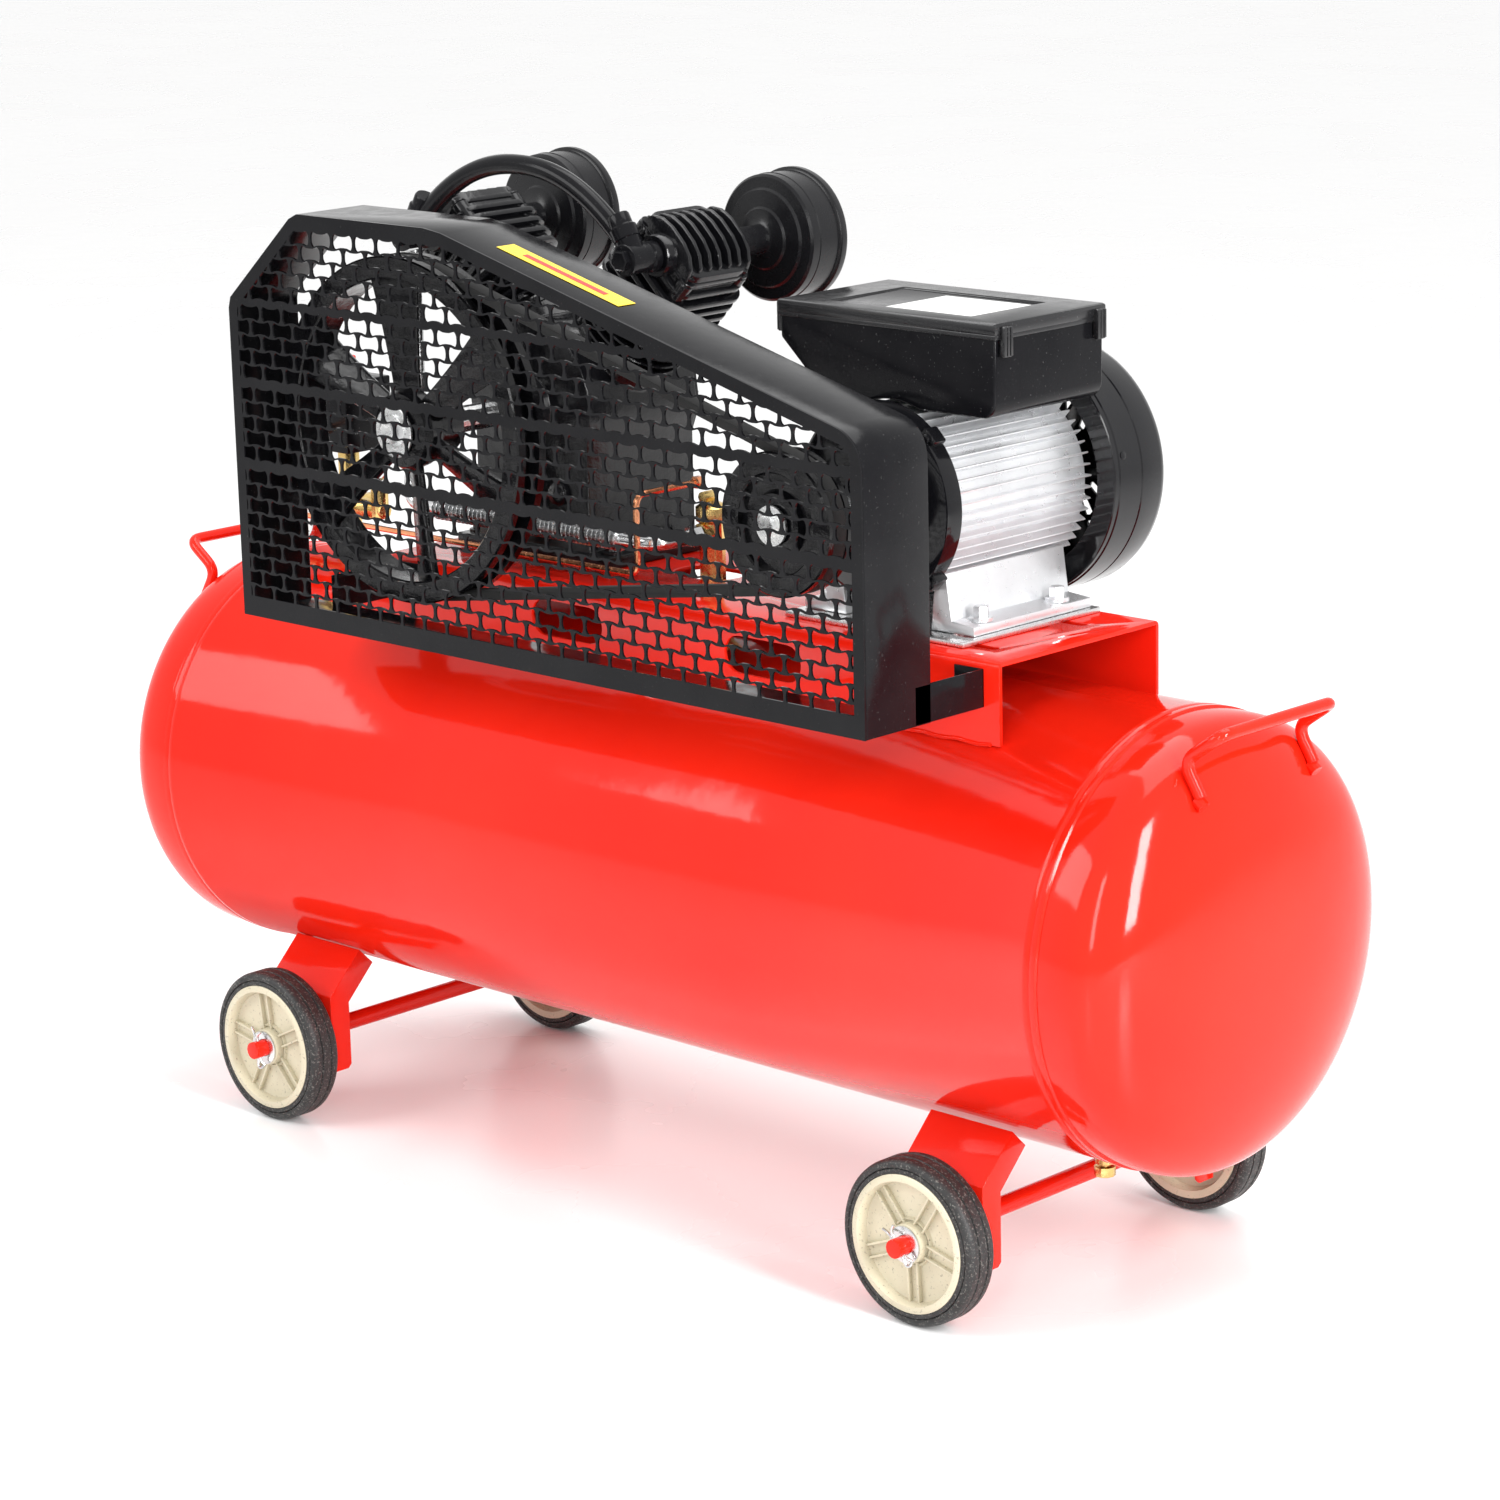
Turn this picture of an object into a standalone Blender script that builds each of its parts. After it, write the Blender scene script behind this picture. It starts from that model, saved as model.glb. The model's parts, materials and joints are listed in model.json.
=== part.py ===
"""A wheeled piston air compressor: tank, V-twin pump, belt drive, motor and fittings.

Metres, Z up.  X runs along the tank, the belt guard faces -Y and the wheels stand on Z = 0.
Every size is a constant below, and each part is built from these constants alone.
"""

from math import cos, pi, radians, sin, sqrt

import bmesh
import bpy
from mathutils import Matrix, Vector

GAP = 0.0003
SEGMENTS_OF_TYRE = 24

# Wheels
WHEEL_R = 0.075
WHEEL_FACE = 0.2086
WHEEL_WIDTH = 0.035
RIM_R = WHEEL_R - 0.0127
AXLE_Z = WHEEL_R
AXLE_R = 0.0085
AXLE_END = WHEEL_FACE + 0.0149
HUB_BORE = AXLE_R + GAP
RIB_HALF = 0.0055

# Tank
TANK_R = 0.2015
TANK_WALL = 0.0035
TANK_Z = WHEEL_R + 0.0515 + TANK_R
TANK_TOP = TANK_Z + TANK_R
TANK_BELLY = TANK_Z - TANK_R
SEAM_X = 0.562
SEAM_HALF = 0.007
SEAM_RISE = 0.0014
DOME_STRAIGHT = 0.028
DOME_DEPTH = 0.075
DOME_POWER = 2.45
DOME_STEPS = 5
TANK_SEGMENTS = 24

# Lifting handles
HANDLE_R = 0.0055
HANDLE_HALF = 0.077
HANDLE_REACH = 0.039
HANDLE_RISE = 0.027

# Undercarriage
AXLE_X = SEAM_X - 0.136
LEG_HALF = 0.047
LEG_Y = WHEEL_FACE - 0.0486
LEG_SHEET = 0.003
LEG_FLANGE = 0.024
LEG_FOOT_Z = AXLE_Z - 0.029
LEG_SLOPE = 0.0405
LEG_TOP_Z = TANK_Z - sqrt(TANK_R ** 2 - (LEG_Y - LEG_SLOPE) ** 2) - 0.0013
LEG_KNEE_Z = LEG_TOP_Z - LEG_SLOPE

# Platform
DECK_LEFT = -0.318
DECK_RIGHT = 0.452
DECK_HALF = 0.1074
DECK_TOP = TANK_TOP + 0.0435
DECK_SHEET = 0.004
DECK_SLOT_X = (-0.077, 0.174)
DECK_SLOT_LENGTH = 0.094
DECK_SLOT_HEIGHT = 0.034
DECK_SLOT_Z = DECK_TOP - 0.036

# Belt drive
BELT_Y = -0.190
FLYWHEEL_R = 0.161
PULLEY_R = 0.063
CRANK_X = -0.187
CRANK_Z = DECK_TOP - 0.0155 + FLYWHEEL_R
BELT_HALF_TALL = 0.0050
BELT_HALF_WIDE = 0.0078
BELT_HALF_NARROW = 0.0052
GROOVE_DEPTH = 0.0125
FLYWHEEL_HALF = 0.018
PULLEY_HALF = 0.016
SPOKES = 6

# Belt guard
GUARD_FRONT = -0.2573
GUARD_DEPTH = 0.082
GUARD_SHEET = 0.002
GUARD_LEFT = CRANK_X - FLYWHEEL_R - 0.013
GUARD_RIGHT = 0.435
GUARD_BOTTOM = DECK_TOP - 0.041
GUARD_TOP = CRANK_Z + FLYWHEEL_R + 0.0385
GUARD_SHOULDER_X = CRANK_X - 0.478 * FLYWHEEL_R
GUARD_SHOULDER_Z = CRANK_Z + 0.693 * FLYWHEEL_R
GUARD_CREST_X = CRANK_X + 0.69 * FLYWHEEL_R
GUARD_TAIL_Z = DECK_TOP + 0.211
GUARD_CORNER = 0.030

# Pump
PUMP_Y = 0.030
CASE_FRONT = PUMP_Y - 0.072
CASE_REAR = PUMP_Y + 0.070
CASE_R = 0.082
CASE_WALL = 0.009
CASE_HALF = 0.076
CASE_FOOT_HALF = 0.104
CASE_FOOT_TOP = DECK_TOP + 0.013
COVER_REAR = CASE_REAR + 0.012
SHAFT_R = 0.0125
THROW = 0.0225
PIN_R = 0.009
WEB_R = 0.034
BANK = radians(45)
DECK_D = 0.088
BARREL_END = 0.150
BORE_R = 0.0330
BARREL_R = BORE_R + 0.009
FIN_R = BORE_R + 0.023
FINS = 3
HEAD_END = 0.243
HEAD_HALF = BORE_R + 0.016
PISTON_TOP = 0.126
PISTON_TALL = 0.030
FILTER_D = 0.215
FILTER_Y = PUMP_Y + HEAD_HALF + 0.046
FILTER_END = FILTER_Y + 0.048
FILTER_R = 0.0600
FILTER_LIP_R = FILTER_R + 0.0033
PIPE_Y = PUMP_Y - HEAD_HALF - 0.026
PIPE_R = 0.0095
LINK_TOP = CRANK_Z + 0.2285
DISCHARGE_Y = PIPE_Y - 0.019
DISCHARGE_Z = DECK_TOP + 0.039

# Motor
HOUSING_R = 0.078
HOUSING_FIN_R = HOUSING_R + 0.008
HOUSING_BORE = HOUSING_R - 0.012
HOUSING_FINS = 22
ROTOR_R = 0.045
HOUSING_FRONT = -0.0645
HOUSING_REAR = 0.1115
MOTOR_X = 0.287
MOTOR_Z = DECK_TOP + 0.0365 + HOUSING_R
SHIELD_FRONT = HOUSING_FRONT - 0.0205
FAN_COVER_R = HOUSING_R + 0.0355
FAN_COVER_END = HOUSING_REAR + 0.0755
BASE_HALF = 0.105
BASE_FRONT = -0.085
BASE_REAR = 0.100
BASE_TALL = 0.005
BOX_X = MOTOR_X - 0.0045
BOX_HALF = 0.1275
BOX_FRONT = HOUSING_FRONT + 0.0045
BOX_REAR = HOUSING_REAR - 0.0235
BOX_TOP = MOTOR_Z + HOUSING_R + 0.0865
BOX_SIDE_Z = BOX_TOP - 0.052
BOX_NECK_HALF = 0.085
BOX_NECK_Z = MOTOR_Z + HOUSING_R - 0.003
LID_TALL = 0.012

# Fittings
CHECK_X = 0.000
CHECK_Y = 0.010
CHECK_TOP = DECK_TOP + 0.067
MANIFOLD_X = 0.062 - SEAM_X
MANIFOLD_Z = TANK_TOP + 0.0505
MANIFOLD_TOP = MANIFOLD_Z + 0.060
UNLOADER_Y = DISCHARGE_Y - 0.024
UNLOADER_Z = DECK_TOP + 0.015
UNLOADER_R = 0.003
DRAIN_X = SEAM_X - 0.085
PORT_R = 0.010


# ---------------------------------------------------------------- helpers

AXES = {"X": Vector((1, 0, 0)), "Y": Vector((0, 1, 0)), "Z": Vector((0, 0, 1))}


def frame_of(direction, centre=(0, 0, 0)):
    """The matrix that turns local Z onto a direction and moves the origin to a centre."""
    turn = Vector(direction).to_track_quat("Z", "Y").to_matrix().to_4x4()
    return Matrix.Translation(Vector(centre)) @ turn


def object_from(name, mesh):
    """A new object in the scene that holds a bmesh."""
    bmesh.ops.recalc_face_normals(mesh, faces=mesh.faces)
    data = bpy.data.meshes.new(name)
    mesh.to_mesh(data)
    mesh.free()
    item = bpy.data.objects.new(name, data)
    bpy.context.scene.collection.objects.link(item)
    return item


def lathe(name, profile, direction, centre, segments=24, turn=0.0):
    """A solid of revolution; the profile is a closed loop of (radius, height along the axis).

    The turn shifts its facets round the axis by a part of one facet.
    """
    place = frame_of(direction, centre)
    mesh = bmesh.new()
    rings = []
    for radius, height in profile:
        if radius < 1e-7:
            rings.append([mesh.verts.new(place @ Vector((0, 0, height)))] * segments)
            continue
        ring = []
        for step in range(segments):
            angle = 2 * pi * (step + turn) / segments
            ring.append(mesh.verts.new(place @ Vector((radius * cos(angle), radius * sin(angle), height))))
        rings.append(ring)
    for first, second in zip(rings, rings[1:] + rings[:1]):
        for step in range(segments):
            after = (step + 1) % segments
            corners = [first[step], first[after], second[after], second[step]]
            unique = list(dict.fromkeys(corners))
            if len(unique) > 2:
                mesh.faces.new(unique)
    return object_from(name, mesh)


def rod(name, radius, start, end, segments=16):
    """A plain cylinder between two points."""
    start, end = Vector(start), Vector(end)
    long = (end - start).length
    return lathe(name, [(0, 0), (radius, 0), (radius, long), (0, long)], end - start, start, segments)


def prism(name, outline, low, high, axis="Y"):
    """A polygon of (first, second) coordinates extruded along an axis between two heights."""
    def point(first, second, height):
        if axis == "Y":
            return Vector((first, height, second))
        if axis == "X":
            return Vector((height, first, second))
        return Vector((first, second, height))

    mesh = bmesh.new()
    bottom = [mesh.verts.new(point(a, b, low)) for a, b in outline]
    top = [mesh.verts.new(point(a, b, high)) for a, b in outline]
    mesh.faces.new(bottom)
    mesh.faces.new(list(reversed(top)))
    for step in range(len(outline)):
        after = (step + 1) % len(outline)
        mesh.faces.new([bottom[step], top[step], top[after], bottom[after]])
    return object_from(name, mesh)


def block(name, low, high):
    """A box between two corners."""
    outline = [(low[0], low[2]), (high[0], low[2]), (high[0], high[2]), (low[0], high[2])]
    return prism(name, outline, low[1], high[1])


def sweep(name, points, radius, segments=12):
    """A round bar along a path, its radius one number or one per point."""
    points = [Vector(point) for point in points]
    radii = radius if isinstance(radius, (list, tuple)) else [radius] * len(points)
    mesh = bmesh.new()
    side = None
    rings = []
    for index, point in enumerate(points):
        before = points[max(index - 1, 0)]
        after = points[min(index + 1, len(points) - 1)]
        along = (after - before).normalized()
        if side is None:
            side = along.orthogonal().normalized()
        side = (side - along * side.dot(along)).normalized()
        other = along.cross(side)
        ring = []
        for step in range(segments):
            angle = 2 * pi * step / segments
            offset = side * cos(angle) + other * sin(angle)
            ring.append(mesh.verts.new(point + offset * radii[index]))
        rings.append(ring)
    for first, second in zip(rings, rings[1:]):
        for step in range(segments):
            after = (step + 1) % segments
            mesh.faces.new([first[step], first[after], second[after], second[step]])
    mesh.faces.new(rings[0])
    mesh.faces.new(rings[-1])
    return object_from(name, mesh)


def rounded_path(points, radius, steps=4):
    """The path through these points, each inner corner replaced by an arc."""
    points = [Vector(point) for point in points]
    path = [points[0]]
    for before, corner, after in zip(points, points[1:], points[2:]):
        first = (before - corner).normalized()
        second = (after - corner).normalized()
        for step in range(steps + 1):
            part = step / steps
            start = corner + first * radius * (1 - part)
            finish = corner + second * radius * part
            path.append(start.lerp(finish, part))
    path.append(points[-1])
    return path


def obround(x, z, length, height, steps=5):
    """The outline of a slot with round ends."""
    reach = (length - height) / 2
    outline = []
    for step in range(steps + 1):
        angle = -pi / 2 + pi * step / steps
        outline.append((x + reach + height / 2 * cos(angle), z + height / 2 * sin(angle)))
    for step in range(steps + 1):
        angle = pi / 2 + pi * step / steps
        outline.append((x - reach + height / 2 * cos(angle), z + height / 2 * sin(angle)))
    return outline


def polygon(sides, radius, x=0.0, z=0.0, turn=0.0):
    """A regular polygon outline."""
    return [
        (x + radius * cos(turn + 2 * pi * step / sides), z + radius * sin(turn + 2 * pi * step / sides))
        for step in range(sides)
    ]


def combine(target, tools, operation, solver="EXACT"):
    """The target joined with, or cut by, each tool in turn; the tools are used up."""
    for tool in tools:
        modifier = target.modifiers.new("combine", "BOOLEAN")
        modifier.operation = operation
        modifier.solver = solver
        modifier.object = tool
        graph = bpy.context.evaluated_depsgraph_get()
        data = bpy.data.meshes.new_from_object(target.evaluated_get(graph))
        target.modifiers.clear()
        target.data = data
        bpy.data.objects.remove(tool)
    return target


def fuse(target, *tools, solver="EXACT"):
    return combine(target, tools, "UNION", solver)


def cut(target, *tools, solver="EXACT"):
    return combine(target, tools, "DIFFERENCE", solver)


def dome_radius(depth):
    """The outer radius of a tank end at a depth beyond its straight part."""
    return TANK_R * (1 - min(depth / DOME_DEPTH, 1.0) ** DOME_POWER) ** (1 / DOME_POWER)


def tank_top_z(y, radius=TANK_R):
    """The height of the tank's skin above its axis at a distance from the middle."""
    return TANK_Z + sqrt(radius * radius - y * y)


def bank_point(side, along, across=0.0, y=PUMP_Y):
    """A point in a cylinder's plane, by its distance along and across the cylinder's axis."""
    out = Vector((side * sin(BANK), 0, cos(BANK)))
    tangent = Vector((side * cos(BANK), 0, -sin(BANK)))
    return Vector((CRANK_X, y, CRANK_Z)) + out * along + tangent * across


def bank_axis(side):
    return Vector((side * sin(BANK), 0, cos(BANK)))


# ---------------------------------------------------------------- tank and chassis

def tank_shell():
    outer = [(TANK_R, 0.0)]
    outer += [(TANK_R, SEAM_X - SEAM_HALF - 0.001), (TANK_R + SEAM_RISE, SEAM_X - SEAM_HALF + 0.001)]
    outer += [(TANK_R + SEAM_RISE, SEAM_X + SEAM_HALF - 0.001), (TANK_R, SEAM_X + SEAM_HALF + 0.001)]
    start = SEAM_X + DOME_STRAIGHT
    for step in range(DOME_STEPS):
        angle = pi / 2 * step / DOME_STEPS
        depth = DOME_DEPTH * sin(angle)
        outer.append((dome_radius(depth), start + depth))
    outer.append((0.0, start + DOME_DEPTH))
    inner = [(TANK_R - TANK_WALL, 0.0)]
    for step in range(DOME_STEPS):
        angle = pi / 2 * step / DOME_STEPS
        depth = (DOME_DEPTH - TANK_WALL) * sin(angle)
        scale = (TANK_R - TANK_WALL) / TANK_R
        inner.append((dome_radius(depth * DOME_DEPTH / (DOME_DEPTH - TANK_WALL)) * scale, start + depth))
    inner.append((0.0, start + DOME_DEPTH - TANK_WALL))

    def mirrored(half):
        return [(r, -h) for r, h in reversed(half)] + half[1:]

    shell = lathe("tank_shell", mirrored(outer), AXES["X"], (0, 0, TANK_Z), TANK_SEGMENTS)
    hollow = lathe("hollow", mirrored(inner), AXES["X"], (0, 0, TANK_Z), TANK_SEGMENTS)
    ports = []
    for x, y, z in ((CHECK_X, CHECK_Y, TANK_TOP), (MANIFOLD_X, 0, TANK_TOP), (DRAIN_X, 0, TANK_BELLY)):
        ports.append(rod("port", PORT_R + GAP, (x, y, z - 0.02), (x, y, z + 0.02)))
    return cut(shell, hollow, *ports)


def handle(name, side):
    """A bent bar whose two feet lie along the tank's end."""
    knee_x = SEAM_X + DOME_STRAIGHT + 0.036
    toe_x = knee_x + 0.018

    def off_dome(x, clear):
        along = x - SEAM_X - DOME_STRAIGHT
        slope = (dome_radius(along - 0.0005) - dome_radius(along + 0.0005)) / 0.001
        lift = HANDLE_R * clear * sqrt(1 + slope * slope)
        return tank_top_z(HANDLE_HALF - HANDLE_R, dome_radius(along)) + lift

    knee_z = off_dome(knee_x, 1.149)
    toe_z = off_dome(toe_x, 0.836)
    grip_x, grip_z = knee_x + HANDLE_REACH, knee_z + HANDLE_RISE
    corners = [
        (side * toe_x, -HANDLE_HALF, toe_z),
        (side * knee_x, -HANDLE_HALF, knee_z),
        (side * grip_x, -HANDLE_HALF, grip_z),
        (side * grip_x, HANDLE_HALF, grip_z),
        (side * knee_x, HANDLE_HALF, knee_z),
        (side * toe_x, HANDLE_HALF, toe_z),
    ]
    return sweep(name, rounded_path(corners, 0.012, 3), HANDLE_R, 8)


def platform():
    """A folded channel over the tank, slotted in its sides and top."""
    foot = tank_top_z(DECK_HALF) + 0.0015
    inner = DECK_HALF - DECK_SHEET
    bend = 0.004
    outline = [
        (-DECK_HALF, foot), (-DECK_HALF, DECK_TOP - bend), (-DECK_HALF + bend, DECK_TOP),
        (DECK_HALF - bend, DECK_TOP), (DECK_HALF, DECK_TOP - bend), (DECK_HALF, foot),
        (inner, foot + 0.004), (inner, DECK_TOP - DECK_SHEET), (-inner, DECK_TOP - DECK_SHEET),
        (-inner, foot + 0.004),
    ]
    deck = prism("platform", outline, DECK_LEFT, DECK_RIGHT, "X")
    slots = [
        prism("slot", obround(x, DECK_SLOT_Z, DECK_SLOT_LENGTH, DECK_SLOT_HEIGHT), -0.2, 0.2)
        for x in DECK_SLOT_X
    ]
    for y in (-0.066, 0.052):
        slots.append(prism("slot", obround(0.385, y, 0.060, 0.010), DECK_TOP - 0.02, DECK_TOP + 0.02, "Z"))
    well = obround(CHECK_X - 0.005, CHECK_Y, 0.075, 0.052)
    slots.append(prism("slot", well, DECK_TOP - 0.02, DECK_TOP + 0.02, "Z"))
    return cut(deck, *slots)


def leg(side, front):
    """One folded leg: a sloping and an upright channel, open toward the tank's middle."""
    knee_y, top_y, top_z = LEG_Y, LEG_Y - LEG_SLOPE, LEG_TOP_Z
    slope = LEG_FLANGE * sqrt(0.5)
    x0, x1 = side * AXLE_X - LEG_HALF, side * AXLE_X + LEG_HALF
    outline = [
        (knee_y, LEG_FOOT_Z), (knee_y, LEG_KNEE_Z), (top_y, top_z),
        (top_y - slope, top_z - slope), (knee_y - LEG_FLANGE, LEG_KNEE_Z - 0.010),
        (knee_y - LEG_FLANGE, LEG_FOOT_Z + 0.004), (knee_y - LEG_FLANGE + 0.004, LEG_FOOT_Z),
    ]
    skin = LEG_SHEET
    hollow = [
        (knee_y - skin, LEG_FOOT_Z - 0.01), (knee_y - skin, LEG_KNEE_Z - skin * 0.41),
        (top_y - skin * 0.71, top_z - skin * 0.71), (top_y - 0.06, top_z + 0.02),
        (top_y - 0.06, LEG_FOOT_Z - 0.01),
    ]
    body = prism("leg", [(front * y, z) for y, z in outline], x0, x1, "X")
    void = prism("void", [(front * y, z) for y, z in hollow], x0 + skin, x1 - skin, "X")
    return cut(body, void)


def undercarriage(name, side):
    """Two legs welded to the through axle that carries a pair of wheels."""
    x = side * AXLE_X
    axle = rod(name, AXLE_R, (x, -AXLE_END, AXLE_Z), (x, AXLE_END, AXLE_Z), 14)
    collars = []
    holes = []
    for front in (-1, 1):
        inner, outer = front * (LEG_Y - 0.001), front * (LEG_Y + 0.008)
        collars.append(rod("collar", AXLE_R + 0.004, (x, inner, AXLE_Z), (x, outer, AXLE_Z), 14))
        y = front * (WHEEL_FACE + 0.0095)
        holes.append(rod("hole", 0.0021, (x, y, AXLE_Z - 0.02), (x, y, AXLE_Z + 0.02), 6))
    frame = fuse(axle, *collars, leg(side, -1), leg(side, 1), solver="MANIFOLD")
    return cut(frame, *holes, solver="MANIFOLD")


# ---------------------------------------------------------------- wheels

def wheel_hub(name, side, front):
    """A plastic hub with a raised rim, a recessed web, five flat spokes and a boss."""
    centre = (side * AXLE_X, 0, AXLE_Z)
    outward = AXES["Y"] * front
    face, back = WHEEL_FACE, WHEEL_FACE - WHEEL_WIDTH
    web_out, web_in = face - 0.011, back + 0.011
    profile = [
        (HUB_BORE, back - 0.002), (0.0175, back - 0.002), (RIM_R - 0.009, web_in), (RIM_R, back + 0.001),
        (RIM_R, face), (RIM_R - 0.0065, face), (RIM_R - 0.0090, web_out), (0.0195, web_out),
        (0.0185, face - 0.002), (HUB_BORE, face - 0.002),
    ]
    hub = lathe(name, profile, outward, centre, 18)
    ribs = []
    for index in range(5):
        angle = 2 * pi * index / 5 + radians(18)
        along = Vector((cos(angle), 0, sin(angle)))
        across = Vector((-sin(angle), 0, cos(angle)))
        start, end, half = 0.0175, RIM_R - 0.007, RIB_HALF
        corners = [(start, -half), (end, -half), (end, half), (start, half)]
        outline = [along * a + across * b for a, b in corners]
        flat = [(centre[0] + p.x, centre[2] + p.z) for p in outline]
        low, high = sorted((front * (web_out - 0.002), front * (web_out + 0.0035)))
        ribs.append(prism("rib", flat, low, high))
    return fuse(hub, *ribs)


def tyre(name, side, front):
    """A solid rubber tyre round a hub, one facet of its tread flat on the floor."""
    centre = (side * AXLE_X, 0, AXLE_Z)
    face, back = WHEEL_FACE - 0.0015, WHEEL_FACE - WHEEL_WIDTH + 0.0005
    inner, tread = RIM_R + 2 * GAP, WHEEL_R / cos(pi / SEGMENTS_OF_TYRE)
    profile = [
        (inner, back), (tread - 0.005, back), (tread, back + 0.006),
        (tread, face - 0.006), (tread - 0.005, face), (inner, face),
    ]
    return lathe(name, profile, AXES["Y"] * front, centre, SEGMENTS_OF_TYRE, 0.5)


def retainer(name, side, front):
    """The washer and split pin that hold a wheel on its axle."""
    x = side * AXLE_X
    face = WHEEL_FACE + 0.0002
    profile = [(AXLE_R + GAP, face), (0.0165, face), (0.0165, face + 0.0016), (AXLE_R + GAP, face + 0.0016)]
    washer = lathe(name, profile, AXES["Y"] * front, (x, 0, AXLE_Z), 12)
    y = front * (WHEEL_FACE + 0.0095)
    low = front * (face + 0.0006)
    path = [
        (x + 0.006, low, AXLE_Z - 0.0165), (x, y, AXLE_Z - 0.0120), (x, y, AXLE_Z + 0.0120),
        (x + 0.0035, y, AXLE_Z + 0.0180), (x - 0.0010, y, AXLE_Z + 0.0200),
    ]
    return fuse(washer, sweep("pin", path, 0.0016, 4))


# ---------------------------------------------------------------- belt guard

def guard_outline(inset=0.0):
    """The guard's side view, drawn in from its edge by an inset."""
    fall = (GUARD_TOP - GUARD_TAIL_Z) / (GUARD_RIGHT - GUARD_CREST_X)
    tail = Vector((GUARD_RIGHT, GUARD_TAIL_Z))
    up_slope = Vector((-1, fall)).normalized()
    corner = []
    for step in range(5):
        part = step / 4
        start = tail + Vector((0, -1)) * GUARD_CORNER * (1 - part)
        finish = tail + up_slope * GUARD_CORNER * part
        corner.append(start.lerp(finish, part))
    points = [Vector((GUARD_LEFT, GUARD_BOTTOM)), Vector((GUARD_RIGHT, GUARD_BOTTOM))] + corner
    points += [
        Vector((GUARD_CREST_X, GUARD_TOP)), Vector((GUARD_SHOULDER_X, GUARD_TOP)),
        Vector((GUARD_LEFT, GUARD_SHOULDER_Z)),
    ]
    outline = []
    for before, point, after in zip(points[-1:] + points[:-1], points, points[1:] + points[:1]):
        first, second = (point - before).normalized(), (after - point).normalized()
        normal = Vector((-first.y - second.y, first.x + second.x)).normalized()
        reach = inset / max(normal.dot(Vector((-first.y, first.x))), 0.2)
        outline.append(tuple(point + normal * reach))
    return outline


def guard_shell():
    """The band round the guard, with the two tabs that hold it to the platform."""
    front = GUARD_FRONT + GUARD_SHEET + GAP
    back = GUARD_FRONT + GUARD_DEPTH
    band = prism("guard_shell", guard_outline(), front, back)
    band = cut(band, prism("inside", guard_outline(GUARD_SHEET), front - 0.01, back + 0.01))
    reach = -DECK_HALF - GAP
    tabs = []
    low, high = GUARD_BOTTOM + 0.0005, GUARD_BOTTOM + 0.034
    for x, ear in ((GUARD_RIGHT - GUARD_SHEET, GUARD_RIGHT - 0.032), (DECK_LEFT + 0.012, DECK_LEFT + 0.042)):
        tabs.append(block("tab", (x, back - 0.02, low), (x + GUARD_SHEET, reach, high)))
        near, far = min(x, ear), max(x + GUARD_SHEET, ear)
        tabs.append(block("ear", (near, reach - GUARD_SHEET, low), (far, reach, high)))
    return fuse(band, *tabs)


def guard_mesh():
    """The open front panel: a plate pierced by rows of six-sided holes."""
    panel = prism("guard_mesh", guard_outline(), GUARD_FRONT, GUARD_FRONT + GUARD_SHEET)
    pitch_x, pitch_z, radius = 0.0740, 0.064, 0.0370
    fall = (GUARD_TOP - GUARD_TAIL_Z) / (GUARD_RIGHT - GUARD_CREST_X)
    rise = (GUARD_TOP - GUARD_SHOULDER_Z) / (GUARD_SHOULDER_X - GUARD_LEFT)
    holes = bmesh.new()
    rows = int((GUARD_TOP - GUARD_BOTTOM - 0.07) / pitch_z) + 1
    columns = int((GUARD_RIGHT - GUARD_LEFT - 0.04) / pitch_x)
    for row in range(rows):
        z = GUARD_BOTTOM + 0.078 + row * pitch_z
        for column in range(columns + 1):
            x = GUARD_LEFT + 0.052 + (column + 0.5 * (row % 2)) * pitch_x
            roof = GUARD_TOP - max(0.0, x - GUARD_CREST_X) * fall
            roof = min(roof, GUARD_SHOULDER_Z + (x - GUARD_LEFT) * rise)
            if z + radius + 0.016 > roof or x + radius + 0.012 > GUARD_RIGHT:
                continue
            add_prism(holes, polygon(6, radius * 0.94, x, z, pi / 6), GUARD_FRONT - 0.01, GUARD_FRONT + 0.01)
    return cut(panel, object_from("holes", holes))


def add_prism(mesh, outline, low, high):
    """One more closed prism along Y inside a mesh that collects several."""
    bottom = [mesh.verts.new((x, low, z)) for x, z in outline]
    top = [mesh.verts.new((x, high, z)) for x, z in outline]
    mesh.faces.new(bottom)
    mesh.faces.new(list(reversed(top)))
    for step in range(len(outline)):
        after = (step + 1) % len(outline)
        mesh.faces.new([bottom[step], top[step], top[after], bottom[after]])


# ---------------------------------------------------------------- belt drive

def grooved_rim(radius, half, inner):
    """A pulley rim's section with one belt groove, as (radius, height)."""
    floor = radius - GROOVE_DEPTH
    wide, narrow = BELT_HALF_WIDE + 0.0006, BELT_HALF_NARROW + 0.0004
    return [
        (inner, -half), (radius, -half), (radius, -wide), (floor, -narrow), (floor, narrow),
        (radius, wide), (radius, half), (inner, half),
    ]


def loft(name, rings):
    """A closed solid through rings of points, each with the same number of them."""
    mesh = bmesh.new()
    rings = [[mesh.verts.new(point) for point in ring] for ring in rings]
    count = len(rings[0])
    for first, second in zip(rings, rings[1:]):
        for step in range(count):
            after = (step + 1) % count
            mesh.faces.new([first[step], first[after], second[after], second[step]])
    mesh.faces.new(rings[0])
    mesh.faces.new(rings[-1])
    return object_from(name, mesh)


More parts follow.
